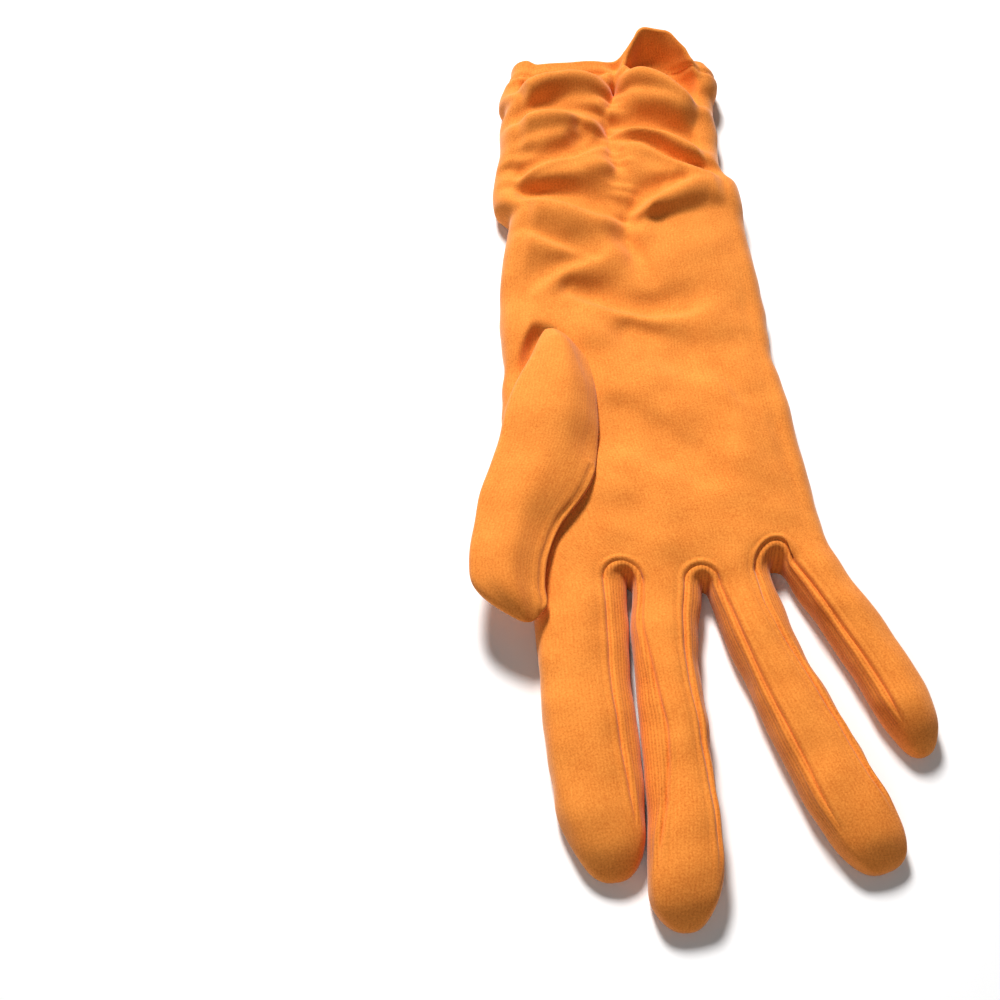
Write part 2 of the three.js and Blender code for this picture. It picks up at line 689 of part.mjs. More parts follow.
// Every panel of the glove's hand and arm as one surface, with the webs' strips under their own names.
function gloveSurface() {
  const cloth = new Cloth();
  const stations = armStations();
  const rows = stations.length - 1;
  const side = (k) => k / sideCells;

  // Arm: the front is seen from above with the cuff at the top
  const front = (i, k) => (i > rows ? frontRoots[k] : armFront(k, stations[rows - i]));
  const back = (i, k) => (i > rows ? backRoots[k] : armBack(k, stations[rows - i]));
  const wallOf = (right) => (i, k) => (i > rows
    ? fingerSide(right ? fingers.length - 1 : 0, 0, side(k), right)
    : armSide(stations[rows - i], side(k), right));
  const bands = [
    { piece: 'cuff', first: 0, count: cuffRows },
    { piece: 'trank', first: cuffRows, count: rows + 1 - cuffRows },
  ];
  for (const { piece, first, count } of bands) {
    const from = (panel) => (i, k) => panel(first + i, k);
    cloth.grid(piece, count, armColumns, from(front));
    cloth.grid(piece, count, armColumns, from(back), true);
    cloth.grid(piece, count, sideCells, from(wallOf(false)), true);
    cloth.grid(piece, count, sideCells, from(wallOf(true)));
  }

  // Fingers
  for (let f = 0; f < fingers.length; f += 1) {
    const last = fingerStations.length - 1;
    const cell = (k) => k / panelCells;
    cloth.grid('trank', last, panelCells, (i, k) => fingerFront(f, fingerStations[i], cell(k)));
    cloth.grid('trank', last, panelCells, (i, k) => fingerBack(f, fingerStations[i], cell(k)), true);
    for (const right of [false, true]) {
      const web = right ? f : f - 1;
      for (let i = 0; i < last; i += 1) {
        const inWeb = web >= 0 && web < webs.length && fingerStations[i] < webEnd;
        const piece = inWeb ? webs[web].name : 'trank';
        const at = (n, k) => fingerSide(f, fingerStations[i + n], side(k), right);
        cloth.grid(piece, 1, sideCells, at, !right);
      }
    }
    const ring = [];
    for (let k = 0; k < panelCells; k += 1) ring.push(fingerFront(f, 1, cell(k)));
    for (let k = 0; k < sideCells; k += 1) ring.push(fingerSide(f, 1, side(k), true));
    for (let k = 0; k < panelCells; k += 1) ring.push(fingerBack(f, 1, 1 - cell(k)));
    for (let k = 0; k < sideCells; k += 1) ring.push(fingerSide(f, 1, 1 - side(k), false));
    const tip = fingerSection(f, 1);
    const past = 1 + tipPast / fingers[f].length;
    const point = fingerPlace(f, past, (tip.left + tip.right) / 2, tip.height * tipShare);
    cloth.cap('trank', ring.reverse(), point);
  }

  // Webs between the fingers
  for (let w = 0; w < webs.length; w += 1) {
    cloth.grid(webs[w].name, archCells, sideCells, (i, k) => webPoint(w, i / archCells, side(k)), true);
  }
  return cloth;
}

// A thumb section's point: the thumb lies on the palm with its flat side down.
const thumbClearance = 0.5;
const thumbBase = palmHeight + thumbClearance;
const thumbSeam = 0.3;
const thumbSeamShare = 0.9;
function thumbSection(along) {
  const left = read(thumbOutline, 'along', 'left', along) * thumbWidth;
  const right = read(thumbOutline, 'along', 'right', along) * thumbWidth;
  const height = read(thumbOutline, 'along', 'rise', along) * thumbHeight;
  const seam = (right - left) * thumbSeam;
  const seamZ = height * thumbSeamShare;
  return { left, right, height, innerLeft: left + seam, innerRight: right - seam, seamZ };
}

function thumbPlace(along, x, z) {
  const a = (thumbTurn * Math.PI) / 180;
  const down = along * thumbLength;
  return [
    thumbPointX + x * Math.cos(a) + down * Math.sin(a),
    thumbPointY + x * Math.sin(a) - down * Math.cos(a),
    thumbBase + z,
  ];
}

function thumbFront(along, u) {
  const s = thumbSection(along);
  const bow = (s.height - s.seamZ) * (1 - (2 * u - 1) ** 2);
  return thumbPlace(along, mix(s.innerLeft, s.innerRight, u), s.seamZ + bow);
}

function thumbSide(along, r, right) {
  const s = thumbSection(along);
  const [x, z] = right
    ? sidePoint(r, s.innerRight, s.right, s.seamZ, s.height)
    : sidePoint(r, s.innerLeft, s.left, s.seamZ, s.height);
  return thumbPlace(along, x, z);
}

function thumbBack(along, u) {
  const s = thumbSection(along);
  const [x0] = sidePoint(1, s.innerLeft, s.left, s.seamZ, s.height);
  const [x1] = sidePoint(1, s.innerRight, s.right, s.seamZ, s.height);
  return thumbPlace(along, mix(x0, x1, u), 0);
}

const thumbStations = [
  0, 0.05, 0.1, 0.15, 0.21, 0.3, 0.4, 0.5, 0.58, 0.65, 0.72, 0.8, 0.88, 0.93, 0.97, 1,
];

function thumbSurface() {
  const cloth = new Cloth();
  const last = thumbStations.length - 1;
  const cell = (k) => k / thumbCells;
  const side = (k) => k / sideCells;
  cloth.grid('thumb', last, thumbCells, (i, k) => thumbFront(thumbStations[i], cell(k)));
  cloth.grid('thumb', last, thumbCells, (i, k) => thumbBack(thumbStations[i], cell(k)), true);
  for (const right of [false, true]) {
    const at = (i, k) => thumbSide(thumbStations[i], side(k), right);
    cloth.grid('thumb', last, sideCells, at, !right);
  }
  for (const end of [0, 1]) {
    const ring = [];
    for (let k = 0; k < thumbCells; k += 1) ring.push(thumbFront(end, cell(k)));
    for (let k = 0; k < sideCells; k += 1) ring.push(thumbSide(end, side(k), true));
    for (let k = 0; k < thumbCells; k += 1) ring.push(thumbBack(end, 1 - cell(k)));
    for (let k = 0; k < sideCells; k += 1) ring.push(thumbSide(end, 1 - side(k), false));
    const tip = thumbSection(end);
    const past = end === 1 ? 1 + tipPast / thumbLength : -tipPast / thumbLength;
    const point = thumbPlace(past, (tip.left + tip.right) / 2, tip.height * tipShare);
    cloth.cap('thumb', end === 1 ? ring.reverse() : ring, point);
  }
  return cloth;
}

// Upright oval plug for the hole that leads from the palm into the thumb.
function holePlug() {
  const sides = 20;
  const bottom = [];
  const top = [];
  for (let i = 0; i < sides; i += 1) {
    const a = (i / sides) * Math.PI * 2;
    const x = thumbHoleX + (Math.cos(a) * thumbHoleWidth) / 2;
    const y = thumbHoleY + (Math.sin(a) * thumbHoleLength) / 2;
    bottom.push([x, y, palmHeight / 2]);
    top.push([x, y, thumbBase + 2 * clothWall]);
  }
  const points = [...bottom, ...top];
  const triangles = [];
  for (let i = 0; i < sides; i += 1) {
    const n = (i + 1) % sides;
    triangles.push([i, n, n + sides], [i, n + sides, i + sides]);
    if (i > 1) triangles.push([0, i, i - 1], [sides, sides + i - 1, sides + i]);
  }
  return solidOf({ points, triangles });
}

function build() {
  const glove = gloveSurface();
  const gloveInner = glove.inward(clothWall, 0);
  const plug = holePlug();
  const thumb = thumbSurface();
  const thumbBody = thumb.body('thumb', thumb.inward(clothWall, thumbBase), 0);
  const pieces = [
    ['trank', solidOf(glove.body('trank', gloveInner, 0)).subtract(plug), colors.cloth],
    ['cuff', solidOf(glove.body('cuff', gloveInner, seamGap)), colors.cloth],
    ['thumb', solidOf(thumbBody).subtract(plug), colors.thumb],
    ...webs.map((web) => [web.name, solidOf(glove.body(web.name, gloveInner, seamGap)), colors.side]),
  ];
  const group = new THREE.Group();
  group.name = 'dress_glove';
  for (const [name, solid, color] of pieces) group.add(meshOf(name, solid, color));

  // The middle of the glove's outline comes to x = 0, y = 0
  const middle = new THREE.Box3().setFromObject(group).getCenter(new THREE.Vector3());
  for (const mesh of group.children) mesh.geometry.translate(-middle.x, -middle.y, 0);
  return group;
}

export default build();
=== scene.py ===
import json
import math

import bpy
import numpy as np
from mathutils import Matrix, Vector, kdtree

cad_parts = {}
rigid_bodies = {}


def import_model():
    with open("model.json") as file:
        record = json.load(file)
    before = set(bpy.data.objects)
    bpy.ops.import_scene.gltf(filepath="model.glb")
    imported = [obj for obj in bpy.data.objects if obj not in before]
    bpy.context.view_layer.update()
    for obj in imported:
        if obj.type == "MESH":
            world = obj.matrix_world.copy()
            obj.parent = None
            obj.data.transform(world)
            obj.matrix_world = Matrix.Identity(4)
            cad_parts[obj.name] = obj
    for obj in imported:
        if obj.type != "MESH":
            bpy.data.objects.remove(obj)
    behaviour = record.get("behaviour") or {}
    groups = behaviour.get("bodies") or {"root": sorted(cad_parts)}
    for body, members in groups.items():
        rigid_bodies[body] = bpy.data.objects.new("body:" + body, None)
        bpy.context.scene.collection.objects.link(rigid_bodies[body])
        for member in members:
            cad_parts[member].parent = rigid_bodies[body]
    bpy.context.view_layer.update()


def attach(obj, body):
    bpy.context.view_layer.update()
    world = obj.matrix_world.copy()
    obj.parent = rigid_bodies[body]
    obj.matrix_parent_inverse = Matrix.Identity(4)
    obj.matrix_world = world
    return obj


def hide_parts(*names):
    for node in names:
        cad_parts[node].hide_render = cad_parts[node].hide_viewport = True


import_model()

# A right-hand dress glove in jersey, lying palm up with its fingers toward -Y.
# Lengths are millimetres from the middle of the wrist and the line of the finger roots. Meshes are
# made in metres from MIDDLE, the middle of the glove's outline.
MM = 0.001
MIDDLE = np.array([12.138, 50.374, 0.0])

# The arm: palm, forearm and cuff
PALM_LENGTH = 52.0
FOREARM_LENGTH = 66.0
CUFF_LENGTH = 64.0
PALM_WIDTH = 80.0
WRIST_WIDTH = 74.0
CUFF_WIDTH = 68.0
PALM_HEIGHT = 10.5
FOREARM_HEIGHT = 12.5
CUFF_HEIGHT = 14.0
ARM_LENGTH = PALM_LENGTH + FOREARM_LENGTH + CUFF_LENGTH
ARM_INSET = 5.0
LOWEST_FRONT = 4.0
BULGE_REACH = 12.0

# Fingers and the webs between them
FINGER_HEIGHT = 11.8
ROOT_SHIFT = 10.2
WEB_GAP = 1.0
WEB_END = 0.86
WEB_SLOPE = 1.3
WEB_LIFT = 1.3
TIP_PAST = 1.4
TIP_SHARE = 0.45

# The thumb and where it is sewn to the palm
THUMB_LENGTH = 91.0
THUMB_WIDTH = 27.0
THUMB_HEIGHT = 10.0
THUMB_TURN = -3.0
THUMB_POINT = (-24.4, 77.5)
THUMB_BASE = PALM_HEIGHT + 0.4
THUMB_SEAM = (0.52, 0.96)
THUMB_SEAM_LEVEL = 0.36
THUMB_SEWN = 0.62
THUMB_SINK = (2.2, 5.0)
THUMB_THICKNESS = (0.92, 0.74)
THUMB_INSET_LEFT = 0.2
THUMB_INSET_RIGHT = (0.16, 0.3)
THUMB_EDGE_SLOPE = 0.5
THUMB_EDGE_REACH = 8

# Cross-sections, as shares of the height or of the distance between outline and seam
EDGE_SHARE = 0.36
SIDE_BREAK = 0.68
UNDER_SHARE = 0.5
UNDER_LIMIT = 1.2
SEAM_SHARE = 0.84
ARM_SEAM_SHARE = 0.86
THUMB_SEAM_SHARE = 0.72

# Folds: how far they blend, how round crests and valleys are, and how high they stand
FOLD_BLEND = 9.0
SOFT_BLEND = 13.0
CREST_ROUNDING = 2.0
VALLEY_ROUNDING = 0.7
SOFT_ROUNDING = 1.5
FOLD_SHARE = 1.65
SOFT_SHARE = 2.4
FOLD_POWER = 1.5
GATHER_SPAN = (112.0, 176.0)
PUCKER = 0.4
PUCKER_LENGTH = 4.2
PUCKER_REACH = 4.0

# Lines beside a seam: height, distance from the seam and width of each
STRIP_SEAM = [(0.3, 1.2, 0.6), (-0.42, 0.0, 0.4), (-0.12, 2.2, 0.35)]
HEM_LINES = [(-0.35, 0.0, 0.5), (0.2, 1.6, 0.9)]
THUMB_LINES = [(-0.4, 0.0, 0.4), (0.3, 1.2, 0.6)]

# The hem: its band, its rolled edge, the cloth turned in, and the stitches
HEM_BAND = 6.5
HEM_ROLL = 0.75
FACING = 18.0
STITCH_SPACING = 2.6
STITCH_LENGTH = 1.9
STITCH_RADIUS = 0.17

# Soft undulation: height, size of the waves and seed of their draws
ARM_WAVES = 0.5
FINGER_WAVES = 0.38
BROAD_WAVES = (22, 1)
SMALL_WAVES = 0.2
NARROW_WAVES = (10, 2)
THUMB_WAVES = 0.35
WAVES_ON_THUMB = (18, 3)

# Evening out: step, the share of it on the arm, and where the fingers' full share begins
RELAX_STEP = 0.6
RELAX_ARM = 0.06
FINGERS_FROM = 30.0
FINGERS_FADE = 20.0

# How finely the cloth is divided
DETAIL = 1.0
STEP = 0.8 / DETAIL
ROUNDS = int(24 * DETAIL)
PANEL_CELLS = int(26 * DETAIL)
ARCH_CELLS = int(14 * DETAIL)
SIDE_CELLS = int(16 * DETAIL)
BLEND_ROWS = int(20 * DETAIL)

# Height of the cloth's underside above the floor
FLOOR_GAP = 0.25

# Knit: width of a wale and height of a course in metres, and the noise of its fuzz and uneven dye
WALE = 0.00092
COURSE = 0.0007
FUZZ = (2400.0, 3.0)
PATCHES = (130.0, 4.0)
BUMP_STRENGTH = 0.12
BUMP_DEPTH = 0.00012


def table(columns, *rows):
    """Named columns of numbers from rows."""
    names = columns.split()
    return {name: np.array([row[i] for row in rows], float) for i, name in enumerate(names)}


# Fingers from the index to the little finger. turn: degrees toward +X. root: toward the cuff.
FINGERS = [
    {"name": "index", "length": 74.0, "width": 22.0, "turn": 4.0, "root": -1.0},
    {"name": "middle", "length": 84.0, "width": 18.0, "turn": 0.4, "root": -2.0},
    {"name": "ring", "length": 78.0, "width": 20.0, "turn": 21.6, "root": 0.0},
    {"name": "little", "length": 56.0, "width": 18.0, "turn": 25.5, "root": 6.5},
]

# Finger outlines along the finger. left, right: shares of its width from its axis. left_seam,
# right_seam: how far inside the outline the front panel ends.
OUTLINE = {
    "index": table(
        "along left right left_seam right_seam",
        (0, -0.57, 0.57, 0.16, 0.3),
        (0.15, -0.57, 0.54, 0.16, 0.28),
        (0.4, -0.57, 0.49, 0.16, 0.27),
        (0.6, -0.56, 0.48, 0.16, 0.24),
        (0.78, -0.53, 0.46, 0.15, 0.17),
        (0.9, -0.39, 0.42, 0.13, 0.1),
        (0.96, -0.28, 0.35, 0.1, 0.07),
        (1, -0.13, 0.24, 0.05, 0.05)),
    "middle": table(
        "along left right left_seam right_seam",
        (0, -0.47, 0.51, 0.12, 0.27),
        (0.15, -0.55, 0.42, 0.16, 0.25),
        (0.3, -0.55, 0.4, 0.26, 0.21),
        (0.47, -0.5, 0.43, 0.34, 0.15),
        (0.68, -0.48, 0.48, 0.23, 0.1),
        (0.83, -0.51, 0.49, 0.13, 0.08),
        (0.93, -0.51, 0.38, 0.1, 0.07),
        (0.98, -0.38, 0.26, 0.07, 0.06),
        (1, -0.25, 0.18, 0.05, 0.05)),
    "ring": table(
        "along left right left_seam right_seam",
        (0, -0.42, 0.48, 0.12, 0.27),
        (0.15, -0.5, 0.38, 0.16, 0.29),
        (0.35, -0.55, 0.33, 0.15, 0.19),
        (0.55, -0.58, 0.34, 0.18, 0.16),
        (0.75, -0.54, 0.36, 0.12, 0.13),
        (0.88, -0.49, 0.39, 0.08, 0.09),
        (0.95, -0.39, 0.36, 0.07, 0.07),
        (1, -0.25, 0.25, 0.05, 0.05)),
    "little": table(
        "along left right left_seam right_seam",
        (0, -0.42, 0.38, 0.14, 0.17),
        (0.15, -0.39, 0.35, 0.14, 0.17),
        (0.35, -0.37, 0.42, 0.13, 0.17),
        (0.55, -0.38, 0.46, 0.17, 0.17),
        (0.75, -0.38, 0.4, 0.16, 0.15),
        (0.89, -0.33, 0.32, 0.08, 0.12),
        (0.96, -0.3, 0.23, 0.06, 0.08),
        (1, -0.21, 0.13, 0.04, 0.04)),
}

# How high a finger stands along its length, as a share of its height.
FINGER_RISE = table(
    "along rise",
    (0.0, 0.88), (0.3, 1.0), (0.7, 0.99), (0.82, 0.95), (0.9, 0.85), (0.95, 0.7), (0.98, 0.52),
    (1.0, 0.34))

# Zones of the arm: where each starts, and how long and wide it is.
ZONES = {
    "palm": (0.0, PALM_LENGTH, PALM_WIDTH),
    "forearm": (PALM_LENGTH, FOREARM_LENGTH, WRIST_WIDTH),
    "cuff": (PALM_LENGTH + FOREARM_LENGTH, CUFF_LENGTH, CUFF_WIDTH),
}

# Outline of the arm: zone, share along it, and left and right edge as shares of its width.
ARM_OUTLINE = [
    ("palm", 0.26, -0.404, 0.598), ("palm", 0.52, -0.431, 0.573), ("palm", 0.8, -0.446, 0.546),
    ("forearm", 0.08, -0.488, 0.565), ("forearm", 0.33, -0.493, 0.536), ("forearm", 0.6, -0.493, 0.519),
    ("forearm", 0.78, -0.485, 0.501), ("forearm", 0.93, -0.462, 0.488), ("forearm", 1.0, -0.452, 0.482),
    ("cuff", 0.09, -0.555, 0.519), ("cuff", 0.2, -0.563, 0.508), ("cuff", 0.34, -0.549, 0.442),
    ("cuff", 0.46, -0.533, 0.441), ("cuff", 0.57, -0.538, 0.447), ("cuff", 0.67, -0.512, 0.44),
    ("cuff", 0.75, -0.545, 0.443), ("cuff", 0.85, -0.532, 0.466), ("cuff", 0.94, -0.5, 0.456),
    ("cuff", 1.0, -0.487, 0.434),
]

# Height of the arm: zone, share along it and height.
ARM_RISE = [
    ("palm", 0.0, PALM_HEIGHT), ("forearm", 0.44, PALM_HEIGHT), ("forearm", 0.8, FOREARM_HEIGHT),
    ("cuff", 0.2, CUFF_HEIGHT), ("cuff", 1.0, CUFF_HEIGHT * 0.9),
]

# How far the front of the cuff stands past the hem's line, by the share of the way across.
HEM_BULGE = table(
    "across past",
    (0.0, -1.0), (0.08, -3.0), (0.52, -3.0), (0.6, 0.0), (0.7, 5.0), (0.82, 4.0), (0.93, -1.0),
    (1.0, -3.0))

# Webs: how far each arches toward the cuff at its front and its back.
WEBS = [
    {"name": "fourchette_index_middle", "front": 5.0, "back": 1.2},
    {"name": "fourchette_middle_ring", "front": 4.5, "back": 1.2},
    {"name": "fourchette_ring_little", "front": 6.5, "back": 1.2},
]

# Outline and height of the thumb along its length, as shares of its width and height.
THUMB_OUTLINE = table(
    "along left right rise",
    (0.0, 0.02, 0.14, 0.1), (0.03, -0.0, 0.29, 0.28), (0.075, -0.05, 0.44, 0.48),
    (0.12, -0.12, 0.52, 0.66), (0.21, -0.23, 0.57, 0.86), (0.3, -0.33, 0.59, 0.97),
    (0.38, -0.37, 0.61, 1.0), (0.47, -0.43, 0.61, 1.0), (0.57, -0.51, 0.55, 0.97),
    (0.62, -0.54, 0.47, 0.95), (0.7, -0.58, 0.29, 0.93), (0.77, -0.59, 0.2, 0.95),
    (0.84, -0.6, 0.14, 0.96), (0.91, -0.58, 0.14, 0.93), (0.95, -0.45, 0.16, 0.83),
    (0.985, -0.27, 0.12, 0.62), (1.0, -0.11, 0.06, 0.35))

# Crests and valleys of the arm's front: x, y and the height above the plain form, from left to right.
FOLDS = [
    # cuff, left of the gathers
    [(-33.9, 174.2, -1.2), (-21.9, 174.5, -0.8), (-5.2, 175.4, -1)],
    [(-33.9, 170.5, -2.5), (-27.1, 172.1, -2), (-21.9, 173.0, -1.2)],
    [(-35.0, 156.8, 1.5), (-32.4, 159.0, 3), (-29.4, 161.2, 4), (-25.3, 163.8, 4.5), (-20.2, 166.1, 4.5),
     (-14.0, 167.6, 4), (-8.8, 167.4, 3), (-4.7, 166.7, 1.5), (-2.0, 166.1, 0)],
    [(-2.7, 161.2, -0.5), (-8.0, 158.7, 1), (-13.1, 157.7, 1.2), (-17.2, 157.3, 1)],
    [(-35.5, 154.0, -1), (-31.4, 154.4, 0), (-26.3, 156.1, 0.4), (-19.2, 157.0, 0.2),
     (-12.0, 156.7, -0.3), (-5.9, 155.7, -1.5), (-3.3, 154.8, -2.5)],
    [(-36.3, 147.4, 1.5), (-33.5, 148.4, 3), (-28.5, 149.6, 3.8), (-22.5, 150.4, 4), (-17.4, 150.8, 3.8),
     (-13.4, 150.5, 3.2), (-8.3, 150.3, 2), (-4.7, 150.4, 0.5)],
    [(-35.5, 141.6, 1.0), (-30.5, 142.3, 1.6), (-24.5, 143.4, 1.8), (-18.5, 145.0, 1.8)],
    [(-12.3, 149.4, 0.2), (-10.5, 146.2, -0.8), (-12.4, 142.2, -0.8), (-16.1, 138.4, -0.4)],
    [(-32.5, 138.9, -0.2), (-27.5, 137.8, 0)],
    [(-37.7, 135.8, -4), (-34.5, 135.7, -3.5), (-31.5, 134.0, -2.5), (-27.5, 134.8, -0.8),
     (-20.5, 137.5, -0.4), (-13.4, 140.4, -0.8), (-7.3, 144.0, -1.4), (-3.6, 147.4, -2.2)],
    [(-36.5, 128.1, 1), (-31.1, 128.7, 1.2), (-26.7, 130.8, 2), (-20.7, 133.1, 2.4), (-14.8, 135.5, 2.4),
     (-8.7, 138.5, 1.5), (-4.5, 141.5, 0.3)],
    [(-29.6, 126.9, 0.6), (-22.8, 129.0, 1.6), (-14.9, 131.2, 2.0), (-7.9, 132.9, 2), (-2.9, 133.5, 0.8)],
    [(-37.5, 130.0, -3.5), (-34.0, 128.7, -3.5), (-30.6, 126.5, -2.5), (-23.7, 124.7, -1.6),
     (-16.9, 122.6, -1.4), (-10.1, 120.9, -1.4), (-3.3, 118.9, -1.6), (0.1, 118.0, -2.4)],
    [(-35.0, 117.5, 1), (-31.7, 118.7, 1.5), (-27.8, 117.7, 2.2), (-23.0, 116.5, 2.4),
     (-17.2, 114.9, 2.2), (-10.5, 113.7, 1.8), (-4.7, 113.3, 1.2), (0.3, 113.8, -0.8)],
    # cuff, the gathers
    [(-0.3, 178.9, -1.5), (-1.0, 172.0, -0.5), (-1.2, 168.1, -3), (-1.6, 164.1, -2.6),
     (-3.2, 157.0, -1.2), (-3.6, 152.6, -3), (-3.4, 148.8, -3), (-2.4, 140.5, -1.2), (-0.9, 130.8, -0.8),
     (-0.2, 124.4, -1), (0.6, 116.9, -2.6)],
    # cuff, right of the gathers
    [(1.3, 177.5, 1.5), (5.0, 181.1, 3.2), (11.3, 184.6, 4.2), (16.5, 184.0, 3.8), (21.6, 180.8, 3.0),
     (25.5, 175.6, 2.0), (28.4, 169.5, 1.0)],
    [(4.2, 176.4, -1.2), (8.6, 176.6, -2.2), (14.0, 174.9, -2.8), (19.1, 171.8, -3), (22.3, 167.4, -2.8),
     (24.9, 163.6, -2)],
    [(-2.6, 167.3, -0.8), (-1.7, 169.5, 1.2), (0.2, 172.7, 2.2), (2.8, 175.8, 3)],
    [(-0.5, 166.7, -1.5), (1.0, 167.8, 1.8), (4.0, 168.9, 3.5), (8.0, 168.1, 4), (13.0, 165.2, 4),
     (17.4, 162.3, 3.5), (21.4, 159.7, 3), (24.9, 157.1, 2), (27.3, 154.1, 1)],
    [(-0.1, 163.9, -1), (3.4, 162.5, 1.2), (8.4, 161.9, 2), (13.4, 160.6, 2.4), (18.4, 159.0, 2.4)],
    [(-2.4, 153.0, -3), (2.1, 153.0, -2.6), (8.1, 152.3, -2.3), (14.1, 150.4, -2.3), (20.0, 148.0, -2.3),
     (24.5, 146.1, -2.5), (28.3, 146.1, -3)],
    [(24.0, 157.3, 1), (24.6, 155.0, -0.6), (25.6, 150.5, -1.6), (27.3, 148.2, -2.4)],
    [(-2.9, 149.8, -1.5), (0.7, 148.3, 1.5), (5.6, 147.5, 2.4), (11.5, 145.1, 2.6), (16.2, 141.8, 2.6),
     (21.0, 138.8, 2.4), (27.0, 137.4, 1.5)],
    [(-2.5, 146.9, -2.2), (0.8, 145.6, -1.4), (5.9, 145.0, -1.2), (9.8, 143.0, -1.4), (13.7, 139.8, -1.4),
     (18.4, 136.6, -1.2), (23.3, 135.0, -1.2), (27.8, 134.6, -1.2)],
    [(-2.3, 143.2, -1), (1.5, 142.0, 0.8), (6.4, 140.6, 1.4), (10.3, 138.5, 1.5), (15.1, 134.7, 1.5),
     (20.8, 131.7, 1.6), (25.6, 130.5, 1.5)],
    [(2.1, 134.8, 0.6), (12.9, 132.0, 0.5), (22.5, 129.7, 1)],
    [(1.6, 119.5, -2.2), (5.7, 123.6, -1.8), (10.7, 126.2, -1.4), (16.7, 128.8, -0.6)],
    [(0.5, 115.5, -1.6), (3.2, 116.7, 0.7), (7.1, 118.3, 1.5), (11.9, 120.9, 1.5), (17.9, 124.3, 1.9),
     (24.0, 127.1, 2.0), (28.4, 125.0, 1.4)],
    [(3.3, 113.4, -1.5), (9.2, 114.1, -1.4), (15.1, 114.9, -1.1), (20.9, 116.0, -0.9),
     (27.7, 117.4, -0.4)],
]

# The same for the broad soft folds of the forearm and palm.
SOFT_FOLDS = [
    # forearm
    [(-29.7, 113.1, -0.5), (-23.0, 108.9, -0.7), (-15.4, 104.9, -0.7), (-9.8, 102.5, -0.4)],
    [(-34.6, 112.4, 1), (-29.8, 108.3, 1.1), (-23.1, 104.4, 1.1), (-16.5, 101.2, 0.8)],
    [(-26.2, 89.7, 0.4), (-18.6, 94.3, 0.9), (-10.9, 98.6, 1), (-4.2, 101.2, 0.8), (-0.3, 103.1, 0.3)],
    [(-30.9, 90.4, -0.5), (-23.2, 96.4, -0.5), (-13.6, 100.6, -0.4)],
    [(0.7, 112.6, -0.6), (3.9, 110.5, 0.8), (8.7, 108.8, 0.3)],
    [(0.1, 109.1, -0.9), (3.6, 101.4, -0.6), (6.0, 93.9, -0.3)],
    [(3.8, 107.9, 0.5), (6.7, 100.4, 0.6), (9.3, 94.6, 0.3)],
    [(-16.3, 90.7, -0.6), (-9.3, 88.1, -1), (-1.9, 85.4, -1), (6.4, 83.9, -0.9), (15.7, 84.2, -0.5)],
    [(-15.0, 87.0, 0.5), (-8.6, 83.7, 0.8), (-1.3, 80.8, 0.9), (7.9, 79.5, 0.8), (21.0, 81.1, 0.6),
     (35.9, 81.3, 0.3)],
    # palm
    [(-23.0, 79.5, 0.4), (-16.5, 78.3, 0.7), (-11.0, 74.5, 0.7), (-7.5, 68.0, 0.2)],
    [(-24.0, 79.5, 0.6), (-27.6, 77.6, 1.4), (-31.4, 71.1, 1.5), (-33.4, 62.3, 1.2), (-34.8, 54.4, 0.4)],
    [(-25.4, 73.8, -0.9), (-28.2, 68.1, -1.3), (-30.8, 61.3, -1.2), (-32.7, 54.7, -0.8)],
    [(0.0, 76.0, -0.5), (10.0, 71.0, -0.6), (16.0, 67.0, -0.6), (23.0, 63.0, -0.4), (28.0, 55.0, 0.0)],
    [(-12.0, 62.0, 0.2), (4.0, 55.0, 0.5), (18.0, 44.0, 0.4)],
    [(-6.0, 46.0, -0.3), (6.0, 38.0, -0.4), (18.0, 30.0, -0.3)],
    [(-8.0, 30.0, 0.3), (6.0, 24.0, 0.4), (24.0, 16.0, 0.3)],
    [(24.0, 62.0, 0.5), (27.0, 44.0, 0.9), (28.0, 26.0, 0.6)],
]

# The line of the gathers down the middle of the cuff.
GATHERS = np.array([
    (0.6, 113.0), (0.6, 116.9), (-0.2, 124.4), (-0.9, 130.8), (-2.4, 140.5), (-3.4, 148.8), (-3.6, 152.6),
    (-3.2, 157.0), (-1.6, 164.1), (-1.2, 168.1), (-1.0, 172.0), (-0.3, 178.9)])

# Creases at the tips of the fingers: a line in x and y, its depth and its width.
TIP_CREASES = [
    ([(-25.5, -59.0), (-24.4, -61.3), (-21.4, -66.6), (-17.5, -73.3)], 0.5, 3.0),
    ([(55.4, -38.3), (57.4, -41.5), (58.9, -46.7)], 0.6, 3.4),
    ([(51.5, -41.0), (54.5, -44.5), (57.0, -48.7)], 0.6, 3.4),
    ([(38.0, -63.0), (41.5, -68.0), (42.5, -73.5)], 0.3, 3.6)]

# Dents of the thumb: x, y, reach and depth.
THUMB_DENTS = [
    (-14.0, 66.0, 5.0, 0.9), (-34.5, 36.0, 4.0, 0.5), (-28.5, 32.7, 4.0, 0.6), (-22.5, 29.5, 4.0, 0.6),
    (-14.4, 37.0, 4.0, 0.5), (-26.5, 9.8, 6.0, 0.6), (-24.0, 47.0, 6.0, -0.5), (-30.0, 0.0, 6.0, -0.5)]


def mix(a, b, t):
    """The value a share t of the way from a to b."""
    return a + (b - a) * t


def smooth(t):
    """A soft step from 0 to 1."""
    t = np.clip(t, 0.0, 1.0)
    return t * t * (3 - 2 * t)


